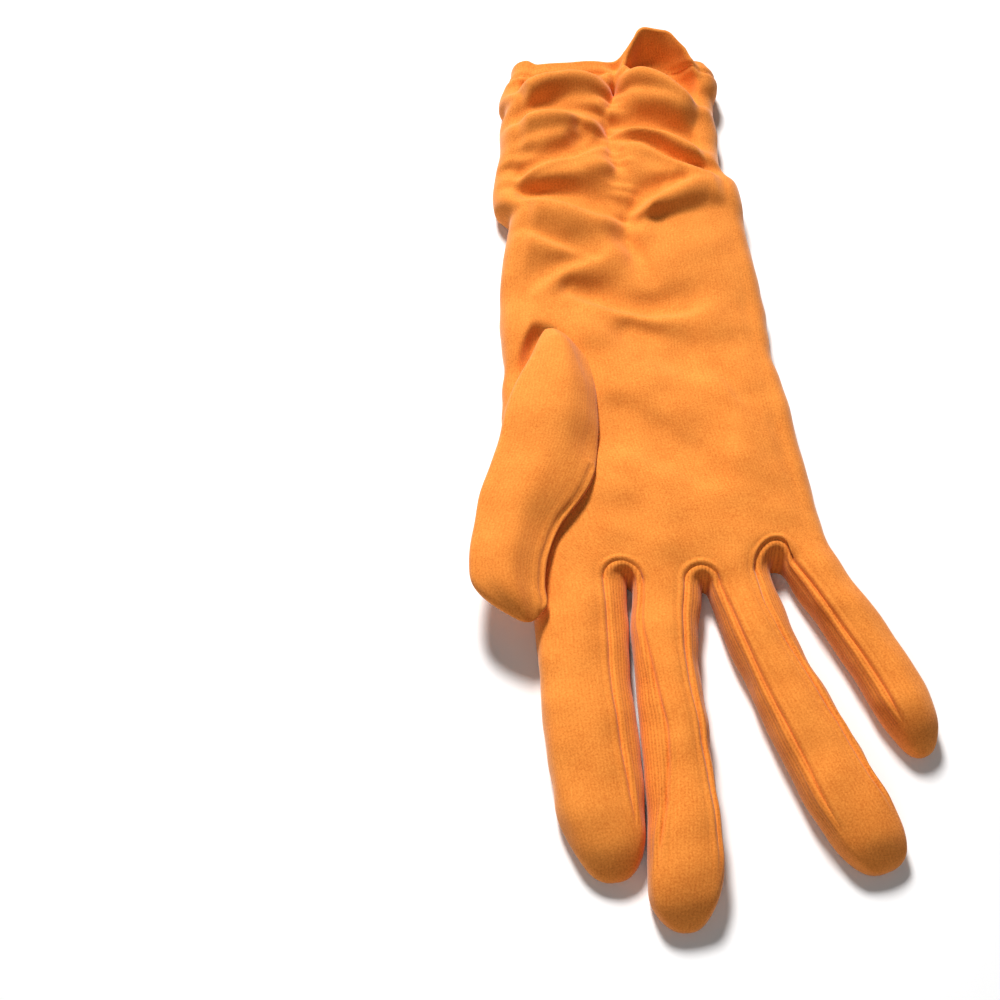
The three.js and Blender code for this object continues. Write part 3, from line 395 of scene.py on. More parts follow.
def read(rows, key, column, at):
    """Value of a table's column along its key, on a smooth curve that doesn't overshoot."""
    x, y = rows[key], rows[column]
    run, rise = np.diff(x), np.diff(y)
    slope = rise / run
    inner = np.zeros(len(x))
    inner[0], inner[-1] = slope[0], slope[-1]
    product = slope[:-1] * slope[1:]
    total = slope[:-1] + slope[1:]
    inner[1:-1] = np.where(product > 0, 2 * product / np.where(total == 0, 1, total), 0)
    at = np.clip(at, x[0], x[-1])
    i = np.clip(np.searchsorted(x, at, side="right") - 1, 0, len(x) - 2)
    t = (at - x[i]) / run[i]
    m1, m2 = inner[i] * run[i], inner[i + 1] * run[i]
    t2, t3 = t * t, t * t * t
    return ((2 * t3 - 3 * t2 + 1) * y[i] + (t3 - 2 * t2 + t) * m1
            + (3 * t2 - 2 * t3) * y[i + 1] + (t3 - t2) * m2)


ARM = {
    "y": np.array([ZONES[z][0] + a * ZONES[z][1] for z, a, l, r in ARM_OUTLINE]),
    "left": np.array([l * ZONES[z][2] for z, a, l, r in ARM_OUTLINE]),
    "right": np.array([r * ZONES[z][2] for z, a, l, r in ARM_OUTLINE]),
}
RISE = {
    "y": np.array([ZONES[z][0] + a * ZONES[z][1] for z, a, h in ARM_RISE]),
    "rise": np.array([h for z, a, h in ARM_RISE]),
}
FIRST_Y = ARM["y"][0]


def nearest_on_line(x, y, line):
    """Square of the distance to a line of joined points, and the line's height at the nearest place."""
    best = np.full(np.shape(x), np.inf)
    height = np.zeros(np.shape(x))
    for (x0, y0, h0), (x1, y1, h1) in zip(line[:-1], line[1:]):
        dx, dy = x1 - x0, y1 - y0
        t = np.clip(((x - x0) * dx + (y - y0) * dy) / (dx * dx + dy * dy), 0, 1)
        distance = (x - x0 - t * dx) ** 2 + (y - y0 - t * dy) ** 2
        nearer = distance < best
        best = np.where(nearer, distance, best)
        height = np.where(nearer, h0 + (h1 - h0) * t, height)
    return best, height


def bell(distance, width):
    """1 at no distance, fading out over the width."""
    return np.exp(-(distance / width) ** 2)


def lines_beside(distance, rows):
    """Height of the grooves and beads that run along a seam."""
    return sum(height * bell(distance - at, width) for height, at, width in rows)


def rounded(line, cells=4):
    """The line on a smooth curve through its points."""
    p = np.array(line, float)
    p = np.concatenate([[2 * p[0] - p[1]], p, [2 * p[-1] - p[-2]]])
    out = []
    for a, b, c, d in zip(p[:-3], p[1:-2], p[2:-1], p[3:]):
        for t in np.arange(cells) / cells:
            out.append(0.5 * (2 * b + (c - a) * t + (2 * a - 5 * b + 4 * c - d) * t * t
                              + (3 * b - a - 3 * c + d) * t ** 3))
    return out + [p[-2]]


def relief(x, y):
    """Height of the folds: each place takes it from the crests and valleys around it."""
    z = np.zeros(np.shape(x))
    kinds = (
        (FOLDS, FOLD_SHARE, 1.0, FOLD_BLEND),
        (SOFT_FOLDS, SOFT_SHARE, SOFT_ROUNDING, SOFT_BLEND),
    )
    for lines, share, widen, blend in kinds:
        total = np.full(np.shape(x), blend ** (-2 * FOLD_POWER))
        height_sum = np.zeros(np.shape(x))
        for line in lines:
            crest = sum(point[2] for point in line) > 0
            rounding = (CREST_ROUNDING if crest else VALLEY_ROUNDING) * widen
            distance, height = nearest_on_line(x, y, rounded(line))
            weight = (distance + rounding ** 2) ** -FOLD_POWER
            total += weight
            height_sum += weight * height
        z += share * height_sum / total
    along_gathers = smooth((y - GATHER_SPAN[0]) / 6) * smooth((GATHER_SPAN[1] - y) / 6)
    gather_x = np.interp(y, GATHERS[:, 1], GATHERS[:, 0])
    wave = y * 2 * math.pi / PUCKER_LENGTH + 1.6 * np.sin(0.55 * y) + 0.3 * x
    return z + PUCKER * bell(x - gather_x, PUCKER_REACH) * np.sin(wave) * along_gathers


def side_point(r, inner, outer, seam_z, height):
    """A place on a side: r is 0 at the front seam and 1 where the side tucks under to the back."""
    edge_z = height * EDGE_SHARE
    tuck = np.minimum(np.abs(inner - outer) * UNDER_SHARE, edge_z * UNDER_LIMIT)
    under = outer + np.sign(inner - outer) * tuck
    a = np.clip(r / SIDE_BREAK, 0, 1) * math.pi / 2
    b = np.clip((r - SIDE_BREAK) / (1 - SIDE_BREAK), 0, 1) * math.pi / 2
    upper = r <= SIDE_BREAK
    x = np.where(upper, mix(inner, outer, np.sin(a)), mix(under, outer, np.cos(b)))
    z = np.where(upper, mix(edge_z, seam_z, np.cos(a)), edge_z * (1 - np.sin(b)))
    return x, z


def finger_roots():
    """Where each finger's axis meets the line of the roots."""
    spans = [0.0]
    for before, after in zip(FINGERS[:-1], FINGERS[1:]):
        right = OUTLINE[before["name"]]["right"][0] * before["width"]
        left = -OUTLINE[after["name"]]["left"][0] * after["width"]
        spans.append(spans[-1] + right + left + WEB_GAP)
    first = OUTLINE["index"]["left"][0] * FINGERS[0]["width"]
    last = spans[3] + OUTLINE["little"]["right"][0] * FINGERS[3]["width"]
    return [(span - (first + last) / 2 + ROOT_SHIFT, f["root"]) for span, f in zip(spans, FINGERS)]


ROOTS = finger_roots()


class Section:
    """A tube's cross-section along its length. Past the end it closes to a round tip."""

    def __init__(self, along, length, left, right, height, inner_left, inner_right, seam_z):
        past = np.clip((along - 1) * length / TIP_PAST, 0, 1) * math.pi / 2
        self.keep = np.cos(past)
        self.down = np.minimum(along, 1) * length + TIP_PAST * np.sin(past)
        self.left, self.right, self.height = left, right, height
        self.inner_left, self.inner_right, self.seam_z = inner_left, inner_right, seam_z
        self.middle = (left + right) / 2

    def close(self, x, z):
        """Draws a place in toward the middle of the round tip."""
        middle_z = self.height * TIP_SHARE
        return mix(self.middle, x, self.keep), mix(middle_z, z, self.keep)

    def front(self, u):
        bow = (self.height - self.seam_z) * (1 - (2 * u - 1) ** 2)
        return self.close(mix(self.inner_left, self.inner_right, u), self.seam_z + bow)

    def side(self, r, right):
        inner, outer = (self.inner_right, self.right) if right else (self.inner_left, self.left)
        return self.close(*side_point(r, inner, outer, self.seam_z, self.height))

    def back(self, u):
        x0, _ = side_point(np.ones_like(u), self.inner_left, self.left, self.seam_z, self.height)
        x1, _ = side_point(np.ones_like(u), self.inner_right, self.right, self.seam_z, self.height)
        return self.close(mix(x0, x1, u), np.zeros_like(u))


def finger_section(i, along):
    """Cross-section of a finger, from its root to its tip."""
    finger = FINGERS[i]
    rows, width, length = OUTLINE[finger["name"]], finger["width"], finger["length"]
    a = np.minimum(along, 1)
    height = FINGER_HEIGHT * read(FINGER_RISE, "along", "rise", a)
    left = read(rows, "along", "left", a) * width
    right = read(rows, "along", "right", a) * width
    inner_left = left + read(rows, "along", "left_seam", a) * width
    inner_right = right - read(rows, "along", "right_seam", a) * width
    return Section(along, length, left, right, height, inner_left, inner_right, height * SEAM_SHARE)


def finger_place(i, section, xz):
    """Turns a place in a finger's cross-section into the glove's."""
    x, z = xz
    turn = math.radians(FINGERS[i]["turn"])
    return np.stack([
        ROOTS[i][0] + x * math.cos(turn) + section.down * math.sin(turn),
        ROOTS[i][1] + x * math.sin(turn) - section.down * math.cos(turn),
        z], -1)


def finger_front(i, along, u):
    """A place on a finger's front panel, u from its left to its right seam."""
    s = finger_section(i, along)
    return finger_place(i, s, s.front(u))


def finger_side(i, along, r, right):
    """A place on a finger's side, r from the front seam down to the back."""
    s = finger_section(i, along)
    return finger_place(i, s, s.side(r, right))


def finger_back(i, along, u):
    """A place on a finger's back, u from left to right."""
    s = finger_section(i, along)
    return finger_place(i, s, s.back(u))


def thumb_section(along):
    """The thumb is thinner past its root, and its right seam runs further in over the lower half."""
    a = np.minimum(along, 1)
    left = read(THUMB_OUTLINE, "along", "left", a) * THUMB_WIDTH
    right = read(THUMB_OUTLINE, "along", "right", a) * THUMB_WIDTH
    height = read(THUMB_OUTLINE, "along", "rise", a) * THUMB_HEIGHT
    height = height * mix(*THUMB_THICKNESS, smooth((a - 0.05) / 0.3))
    inner_left = left + (right - left) * THUMB_INSET_LEFT
    inner_right = right - (right - left) * mix(*THUMB_INSET_RIGHT, smooth((a - 0.4) / 0.2))
    seam_z = height * THUMB_SEAM_SHARE
    return Section(along, THUMB_LENGTH, left, right, height, inner_left, inner_right, seam_z)


def thumb_place(section, xz):
    """Turns a place in the thumb's cross-section into the glove's, sloping down to its right edge."""
    x, z = xz
    z = z * mix(THUMB_EDGE_SLOPE, 1, smooth((section.right - x) / THUMB_EDGE_REACH))
    turn = math.radians(THUMB_TURN)
    return np.stack([
        THUMB_POINT[0] + x * math.cos(turn) + section.down * math.sin(turn),
        THUMB_POINT[1] + x * math.sin(turn) - section.down * math.cos(turn),
        THUMB_BASE + z], -1)


def web_point(i, t, r):
    """A place on a web: t runs from one finger to the next, r from the front down to the back."""
    zero = np.zeros_like(r)
    a = finger_side(i, zero, r, True)
    b = finger_side(i + 1, zero, r, False)
    across = (1 - np.cos(math.pi * t)) / 2
    depth = mix(WEBS[i]["front"], WEBS[i]["back"], np.minimum(1, r * WEB_SLOPE))
    p = mix(a, b, across[..., None])
    p[..., 1] += depth * np.sin(math.pi * t)
    p[..., 2] += WEB_LIFT * np.sin(math.pi * t) * (1 - r) ** 2
    return p


def root_row(front):
    """The line of the finger roots on the front or the back, with the webs' edges."""
    rows = []
    for i in range(4):
        u = np.linspace(0, 1, PANEL_CELLS + 1)
        zero = np.zeros_like(u)
        rows.append(finger_front(i, zero, u) if front else finger_back(i, zero, u))
        if i < 3:
            t = np.linspace(0, 1, ARCH_CELLS + 1)[1:-1]
            rows.append(web_point(i, t, np.full_like(t, 0.0 if front else 1.0)))
    return np.concatenate(rows)


FRONT_ROOTS = root_row(True)
BACK_ROOTS = root_row(False)
ARM_COLUMNS = len(FRONT_ROOTS) - 1


def column_share(y, roots):
    """How far across the arm each column lies: as at the roots there, evenly past the palm."""
    x = roots[:, 0]
    at_roots = (x - x[0]) / (x[-1] - x[0])
    even = np.linspace(0, 1, len(x))
    t = smooth((y - FIRST_Y) / (PALM_LENGTH - FIRST_Y))
    return mix(at_roots[None, :], even[None, :], t[:, None])


def arm_section(y):
    """Height, outline and seams of the arm."""
    height = read(RISE, "y", "rise", y)
    left, right = read(ARM, "y", "left", y), read(ARM, "y", "right", y)
    return height, left, right, left + ARM_INSET, right - ARM_INSET, height * ARM_SEAM_SHARE


def arm_front(y, u):
    """Rows of the arm's front with its folds, u from left to right."""
    height, left, right, inner_left, inner_right, seam_z = (v[:, None] for v in arm_section(y))
    x = mix(inner_left, inner_right, u)
    yy = y[:, None] + np.zeros_like(u)
    bow = (height - seam_z) * (1 - (2 * u - 1) ** 4)
    fade = mix(0.45, 1, smooth(np.minimum(u, 1 - u) / 0.06))
    past = read(HEM_BULGE, "across", "past", u) * smooth((yy - (ARM_LENGTH - BULGE_REACH)) / BULGE_REACH)
    z = np.maximum(LOWEST_FRONT, seam_z + bow + relief(x, yy) * fade)
    return np.stack([x, yy + past, z], -1)


def arm_side(y, r, right):
    """Rows of the arm's side, r from the front down to the back."""
    height, left, right_x, inner_left, inner_right, seam_z = (v[:, None] for v in arm_section(y))
    edge = arm_front(y, np.full((len(y), 1), 1.0 if right else 0.0))
    inner, outer = (inner_right, right_x) if right else (inner_left, left)
    r = np.broadcast_to(r[None, :], (len(y), len(r)))
    x, z = side_point(r, inner, outer, edge[..., 2], height)
    yy = mix(edge[..., 1], y[:, None], smooth(r))
    return np.stack([x, yy, z], -1)


def arm_back(y, u):
    """Rows of the arm's flat back, u from left to right."""
    height, left, right, inner_left, inner_right, seam_z = (v[:, None] for v in arm_section(y))
    one = np.ones_like(u)
    x0, _ = side_point(one, inner_left, left, seam_z, height)
    x1, _ = side_point(one, inner_right, right, seam_z, height)
    return np.stack([mix(x0, x1, u), y[:, None] + 0 * u, 0 * u], -1)


class Cloth:
    """Grids of cloth joined where their points meet."""

    def __init__(self):
        self.points, self.uvs, self.faces, self.pieces, self.ids = [], [], [], [], []
        self.count = 0

    def grid(self, piece, points, uv, flip=False):
        """Adds a grid of points to a piece."""
        rows, columns = points.shape[0] - 1, points.shape[1] - 1
        ids = self.count + np.arange(points.shape[0] * points.shape[1]).reshape(points.shape[:2])
        a, b, c, d = ids[:-1, :-1], ids[:-1, 1:], ids[1:, 1:], ids[1:, :-1]
        quads = np.stack([a, b, c, d] if flip else [a, d, c, b], -1).reshape(-1, 4)
        self.ids.append(ids)
        self.points.append(points.reshape(-1, 3))
        self.uvs.append(uv.reshape(-1, 2))
        self.faces.append(quads)
        self.pieces += [piece] * (rows * columns)
        self.count += points.shape[0] * points.shape[1]

    def joined(self):
        """Joined points, faces, each face corner's place on the fabric, and each face's piece."""
        points = np.concatenate(self.points)
        uvs = np.concatenate(self.uvs)
        faces = np.concatenate(self.faces)
        keys = np.round(points * 500).astype(np.int64)
        _, first, inverse = np.unique(keys, axis=0, return_index=True, return_inverse=True)
        self.welded = inverse.reshape(-1)
        return points[first], self.welded[faces], uvs[faces], np.array(self.pieces)

    def ring(self, row):
        """Joined points once around the arm at one of its rows, from the hem."""
        front, back, left, right = (ids[row] for ids in self.ids[:4])
        loop = np.concatenate([front, right[1:], back[::-1][1:], left[::-1][1:-1]])
        return self.welded[loop]


def fabric_uv(points, middle, start=(0.0, 0.0)):
    """Place on the fabric of every point of a grid, in millimetres from a column of it."""
    across = np.linalg.norm(np.diff(points, axis=1), axis=2)
    along = np.linalg.norm(np.diff(points, axis=0), axis=2)
    u = np.concatenate([np.zeros((len(points), 1)), np.cumsum(across, 1)], 1)
    v = np.concatenate([np.zeros((1, points.shape[1])), np.cumsum(along, 0)], 0)
    u = u - u[:, middle:middle + 1]
    v = np.repeat(v[:, middle:middle + 1], points.shape[1], 1) * 0.5 + v * 0.5
    return np.stack([u + start[0], start[1] - v], -1)


def vertex_normals(points, faces):
    """Which way the cloth faces at every point."""
    normals = np.zeros_like(points)
    p = points[faces]
    n = np.cross(p[:, 2] - p[:, 0], p[:, 3] - p[:, 1])
    for k in range(4):
        np.add.at(normals, faces[:, k], n)
    return normals / np.maximum(np.linalg.norm(normals, axis=1, keepdims=True), 1e-9)


def seam_lines():
    """Points along the front seams of the webs' strips, and how strong the seam is there, from 0 to 1."""
    lines, strength = [], []
    for i in range(3):
        s = np.linspace(WEB_END + 0.06, 0, 200)
        zero = np.zeros_like(s)
        t = np.linspace(0, 1, 40)
        fade = smooth((WEB_END + 0.04 - s) / 0.14)
        lines += [finger_side(i, s, zero, True), web_point(i, t, np.zeros_like(t)),
                  finger_side(i + 1, s[::-1], zero, False)]
        strength += [fade, np.ones_like(t), fade[::-1]]
    return np.concatenate(lines), np.concatenate(strength)


def thumb_seam():
    """Points along the seam on the lower right of the thumb."""
    s = np.linspace(*THUMB_SEAM, 120)
    section = thumb_section(s)
    return thumb_place(section, section.side(np.full_like(s, THUMB_SEAM_LEVEL), True))


def distances(points, line):
    """Distance from each point to the nearest point of a line, and which point of it that is."""
    tree = kdtree.KDTree(len(line))
    for i, p in enumerate(line):
        tree.insert(p, i)
    tree.balance()
    found = [tree.find(p) for p in points]
    return np.array([f[2] for f in found]), np.array([f[1] for f in found])


def relax(points, faces, rounds, free):
    """Evens out the surface; free is how much each point may move, from 0 to 1."""
    edges = np.concatenate([faces[:, [k, (k + 1) % 4]] for k in range(4)])
    edges = edges[edges[:, 0] != edges[:, 1]]
    count = np.maximum(np.bincount(edges[:, 0], minlength=len(points)), 1)
    for _ in range(rounds):
        middle = np.stack([
            np.bincount(edges[:, 0], points[edges[:, 1], k], len(points)) / count for k in range(3)], 1)
        points = points + (middle - points) * (RELAX_STEP * free)[:, None]
    return points


def ripple(points, size, seed, count=12):
    """Soft random undulation from -1 to 1 with a given size of wave."""
    rng = np.random.default_rng(seed)
    out = np.zeros(len(points))
    for _ in range(count):
        direction = rng.normal(size=3)
        direction /= np.linalg.norm(direction)
        turn = 2 * math.pi / (size * rng.uniform(0.7, 1.5))
        out += np.sin(points @ direction * turn + rng.uniform(0, 2 * math.pi))
    return out / math.sqrt(count) / 1.4


def wall_uv(edge, across, right):
    """Place on the fabric of a side that carries on from the front panel's edge."""
    u = edge[:, :1] + (across if right else -across)
    return np.stack([u, np.repeat(edge[:, 1:], SIDE_CELLS + 1, 1)], -1)


def glove_cloth():
    """The cloth of the glove without its thumb: the arm, the fingers and the strips between them."""
    cloth = Cloth()
    y = np.concatenate([np.arange(FIRST_Y, ARM_LENGTH, STEP), [ARM_LENGTH]])[::-1]
    t = np.linspace(0, 1, BLEND_ROWS + 1)[1:, None, None]

    def to_roots(last, roots):
        """Rows from the arm's last row to the roots of the fingers."""
        rows = mix(last[None], roots[None], t)
        rows[..., 2] = mix(last[None, :, 2], roots[None, :, 2], t[..., 0] ** 2.5)
        return rows

    front = arm_front(y, column_share(y, FRONT_ROOTS))
    front = np.concatenate([front, to_roots(front[-1], FRONT_ROOTS)])
    back = arm_back(y, column_share(y, BACK_ROOTS))
    back = np.concatenate([back, to_roots(back[-1], BACK_ROOTS)])
    middle = ARM_COLUMNS // 2
    front_uv = fabric_uv(front, middle, (FRONT_ROOTS[middle, 0], ARM_LENGTH))
    cloth.grid("trank", front, front_uv)
    cloth.grid("trank", back, fabric_uv(back, middle, (200.0, ARM_LENGTH)), True)
    r = np.linspace(0, 1, SIDE_CELLS + 1)
    for right in (False, True):
        finger = 3 if right else 0
        wall = arm_side(y, r, right)
        root = finger_side(finger, np.zeros_like(r), r, right)
        wall = np.concatenate([wall, to_roots(wall[-1], root)])
        uv = wall_uv(front_uv[:, -1 if right else 0], fabric_uv(wall, 0)[..., 0], right)
        cloth.grid("trank", wall, uv, not right)

    u = np.linspace(0, 1, PANEL_CELLS + 1)
    for i, finger in enumerate(FINGERS):
        rows = int(finger["length"] / STEP / 1.1)
        web_rows = int(rows * WEB_END)
        s = np.concatenate([
            np.linspace(0, WEB_END, web_rows + 1),
            np.linspace(WEB_END, 1, rows - web_rows + 1)[1:],
            1 + np.linspace(0, 1, 5)[1:] * TIP_PAST / finger["length"]])
        grid_u = np.meshgrid(s, u, indexing="ij")
        grid_r = np.meshgrid(s, r, indexing="ij")
        root_u = FRONT_ROOTS[i * (PANEL_CELLS + ARCH_CELLS) + PANEL_CELLS // 2, 0]
        front = finger_front(i, *grid_u)
        front_uv = fabric_uv(front, PANEL_CELLS // 2, (root_u, finger["root"]))
        cloth.grid("trank", front, front_uv)
        back = finger_back(i, *grid_u)
        cloth.grid("trank", back, fabric_uv(back, PANEL_CELLS // 2, (200.0 + root_u, finger["root"])), True)
        for right in (False, True):
            wall = finger_side(i, *grid_r, right)
            web = i if right else i - 1
            if 0 <= web < 3:
                uv = fabric_uv(wall, SIDE_CELLS // 2, (100.0 * (web + 1), 0))
                cloth.grid(WEBS[web]["name"], wall[:web_rows + 1], uv[:web_rows + 1], not right)
                cloth.grid("trank", wall[web_rows:], uv[web_rows:], not right)
            else:
                uv = wall_uv(front_uv[:, -1 if right else 0], fabric_uv(wall, 0)[..., 0], right)
                cloth.grid("trank", wall, uv, not right)
    for i in range(3):
        grid = np.meshgrid(np.linspace(0, 1, ARCH_CELLS + 1), r, indexing="ij")
        wall = web_point(i, *grid)
        cloth.grid(WEBS[i]["name"], wall, np.stack([wall[..., 0], wall[..., 2]], -1), True)
    return cloth


def thumb_cloth():
    """The closed cloth of the thumb."""
    cloth = Cloth()
    rows = int(THUMB_LENGTH / STEP)
    past_tip = np.linspace(0, 1, 6)[1:] * TIP_PAST / THUMB_LENGTH
    s = np.concatenate([np.linspace(0, 1, rows + 1), 1 + past_tip])
    u = np.linspace(0, 1, PANEL_CELLS + 1)
    r = np.linspace(0, 1, SIDE_CELLS + 1)
    along, across = np.meshgrid(s, u, indexing="ij")
    section = thumb_section(along)
    front = thumb_place(section, section.front(across))
    front_uv = fabric_uv(front, PANEL_CELLS // 2, (0.0, THUMB_POINT[1]))
    cloth.grid("thumb", front, front_uv)
    back = thumb_place(section, section.back(across))
    cloth.grid("thumb", back, fabric_uv(back, PANEL_CELLS // 2, (200.0, THUMB_POINT[1])), True)
    along, down = np.meshgrid(s, r, indexing="ij")
    section = thumb_section(along)
    for right in (False, True):
        wall = thumb_place(section, section.side(down, right))
        uv = wall_uv(front_uv[:, -1 if right else 0], fabric_uv(wall, 0)[..., 0], right)
        cloth.grid("thumb", wall, uv, not right)
    return cloth


def hem_facing(points, faces, rings):
    """The hem's rolled edge and the turned-in cloth inside the cuff."""
    normals = vertex_normals(points, faces)
    edge, out = points[rings[0]], normals[rings[0]]
    away = edge - points[rings[1]]
    away /= np.linalg.norm(away, axis=1, keepdims=True)
    rows = [edge]
    for turn in np.linspace(0, math.pi, 7)[1:]:
        rows.append(edge - out * HEM_ROLL * (1 - math.cos(turn)) + away * HEM_ROLL * math.sin(turn))
    for ring in rings[1:]:
        rows.append(points[ring] - normals[ring] * 2 * HEM_ROLL)
    grid = np.stack(rows)
    grid = np.concatenate([grid, grid[:, :1]], 1)
    grid[..., 2] = np.maximum(grid[..., 2], 2 * FLOOR_GAP)
    return grid, fabric_uv(grid, 0, (400.0, 0.0))


def stitches(name, line, out, spacing, length, radius, material):
    """A row of short thread stitches lying along a line."""
    steps = np.concatenate([[0], np.cumsum(np.linalg.norm(np.diff(line, axis=0), axis=1))])
    points, faces = [], []
    cells, sides = 6, 6
    for start in np.arange(0, steps[-1] - length, spacing):
        at = start + np.linspace(0, length, cells + 1)
        path = np.stack([np.interp(at, steps, line[:, k]) for k in range(3)], 1)
        up = np.stack([np.interp(at, steps, out[:, k]) for k in range(3)], 1)
        up /= np.linalg.norm(up, axis=1, keepdims=True)
        along = np.gradient(path, axis=0)
        along /= np.maximum(np.linalg.norm(along, axis=1, keepdims=True), 1e-9)
        across = np.cross(along, up)
        bow = np.sin(np.linspace(0, math.pi, cells + 1))
        size = radius * (0.35 + 0.65 * bow)
        path = path + up * (radius * 1.1 * bow - radius * 0.5)[:, None]
        first = len(points)
        for k in range(cells + 1):
            for j in range(sides):
                turn = 2 * math.pi * j / sides
                points.append(path[k] + (across[k] * math.cos(turn) + up[k] * math.sin(turn)) * size[k])
        for k in range(cells):
            for j in range(sides):
                a, b = first + k * sides + j, first + k * sides + (j + 1) % sides
                faces.append((a, b, b + sides, a + sides))
        faces.append(tuple(first + j for j in range(sides))[::-1])
        faces.append(tuple(first + cells * sides + j for j in range(sides)))
    mesh = bpy.data.meshes.new(name)
    mesh.from_pydata(((np.array(points) - MIDDLE) * MM).tolist(), [], faces)
    mesh.polygons.foreach_set("use_smooth", [True] * len(mesh.polygons))
    mesh.materials.append(material)
    obj = bpy.data.objects.new(name, mesh)
    bpy.context.scene.collection.objects.link(obj)
    return obj


def make_object(name, points, faces, uvs, material):
    """An object from some of the cloth's faces. Corners that fall together are left out."""
    used, inverse = np.unique(faces, return_inverse=True)
    faces = inverse.reshape(faces.shape)
    points = (points[used] - MIDDLE) * MM
    polygons = []
    loops = []
    for face, uv in zip(faces.tolist(), uvs.tolist()):
        keep = [k for k in range(4) if face[k] != face[k - 1]]
        if len(keep) > 2:
            polygons.append([face[k] for k in keep])
            loops += [uv[k] for k in keep]
    mesh = bpy.data.meshes.new(name)
    mesh.from_pydata(points.tolist(), [], polygons)
    layer = mesh.uv_layers.new(name="fabric")
    layer.data.foreach_set("uv", (np.array(loops) / 1000).ravel())
    mesh.polygons.foreach_set("use_smooth", [True] * len(mesh.polygons))
    mesh.materials.append(material)
    mesh.update()
    obj = bpy.data.objects.new(name, mesh)
    bpy.context.scene.collection.objects.link(obj)
    return obj


def jersey(name, color, dark, rib):
    """Fuzzy knit cloth between two colours. rib: how much its wales show."""
    material = bpy.data.materials.new(name)
    material.use_nodes = True
    nodes, links = material.node_tree.nodes, material.node_tree.links
    shader = nodes["Principled BSDF"]
    shader.inputs["Roughness"].default_value = 0.85
    shader.inputs["Sheen Weight"].default_value = 0.25
    shader.inputs["Sheen Roughness"].default_value = 0.45
    shader.inputs["Specular IOR Level"].default_value = 0.2
    uv = nodes.new("ShaderNodeUVMap")
    uv.uv_map = "fabric"
    split = nodes.new("ShaderNodeSeparateXYZ")
    links.new(uv.outputs["UV"], split.inputs[0])

    def math_node(operation, a, b=None):
        node = nodes.new("ShaderNodeMath")
        node.operation = operation
        for socket, value in zip(node.inputs, (a, b)):
            if value is None:
                continue
            if isinstance(value, (int, float)):
                socket.default_value = value
            else:
                links.new(value, socket)
        return node.outputs[0]

    wale = math_node("SINE", math_node("MULTIPLY", split.outputs[0], 2 * math.pi / WALE))
    course = math_node("SINE", math_node("MULTIPLY", split.outputs[1], 2 * math.pi / COURSE))
    place = nodes.new("ShaderNodeTexCoord")

    def noise(scale, detail):
        node = nodes.new("ShaderNodeTexNoise")
        links.new(place.outputs["Object"], node.inputs["Vector"])
        node.inputs["Scale"].default_value = scale
        node.inputs["Detail"].default_value = detail
        return node.outputs["Fac"]

    fuzz = noise(*FUZZ)
    patches = noise(*PATCHES)
    height = math_node("ADD", math_node("MULTIPLY", wale, rib), math_node("MULTIPLY", course, 0.25 * rib))
    height = math_node("ADD", height, math_node("MULTIPLY", fuzz, 1.2))
    bump = nodes.new("ShaderNodeBump")
    bump.inputs["Strength"].default_value = BUMP_STRENGTH
    bump.inputs["Distance"].default_value = BUMP_DEPTH
    links.new(height, bump.inputs["Height"])
    links.new(bump.outputs["Normal"], shader.inputs["Normal"])
    ramp = nodes.new("ShaderNodeMix")
    ramp.data_type = "RGBA"
    ramp.inputs["A"].default_value = (*dark, 1)
    ramp.inputs["B"].default_value = (*color, 1)
    tone = math_node("MULTIPLY", math_node("ADD", wale, 1.0), 0.12 * rib)
    grain = math_node("SUBTRACT", math_node("MULTIPLY", fuzz, 1.5), 0.45)
    shade = math_node("ADD", math_node("MULTIPLY", patches, 0.5), grain)
    links.new(math_node("ADD", shade, tone), ramp.inputs["Factor"])
    links.new(ramp.outputs["Result"], shader.inputs["Base Color"])
    return material


def srgb(r, g, b):
    """Linear colour from display values of 0 to 255."""
    shares = (c / 255 for c in (r, g, b))
    return tuple(c / 12.92 if c < 0.04045 else ((c + 0.055) / 1.055) ** 2.4 for c in shares)


def tip_creases(points):
    """Depth of the creases at the fingertips."""
    crease = np.zeros(len(points))
    for line, depth, width in TIP_CREASES:
        path = np.array(rounded([(x, y, FINGER_HEIGHT * 0.7) for x, y in line], 12))
        crease -= depth * bell(distances(points, path)[0], width)
    return crease


def displace(points, faces, seams, strength, hem_line):
    """Evens out the glove's cloth, then adds its seams, hem, creases and undulation."""
    from_seam, nearest = distances(points, seams)
    strength = strength[nearest]
    on_fingers = smooth((FINGERS_FROM - points[:, 1]) / FINGERS_FADE)
    before_hem = smooth((ARM_LENGTH - 1 - points[:, 1]) / 2)
    free = mix(1, smooth((from_seam - 1.0) / 2.0), strength)
    points = relax(points, faces, ROUNDS, free * mix(RELAX_ARM, 1, on_fingers) * before_hem)
    normals = vertex_normals(points, faces)
    from_hem, _ = distances(points, points[hem_line])
    sewing = strength * lines_beside(from_seam, STRIP_SEAM) + lines_beside(from_hem, HEM_LINES)
    soft = (mix(ARM_WAVES, FINGER_WAVES, on_fingers) * ripple(points, *BROAD_WAVES)
            + SMALL_WAVES * ripple(points, *NARROW_WAVES))
    off_floor = smooth(points[:, 2] / 2)
    out = points + normals * ((sewing + soft + tip_creases(points)) * off_floor)[:, None]
    out[:, 2] = np.maximum(out[:, 2], FLOOR_GAP)
    return out


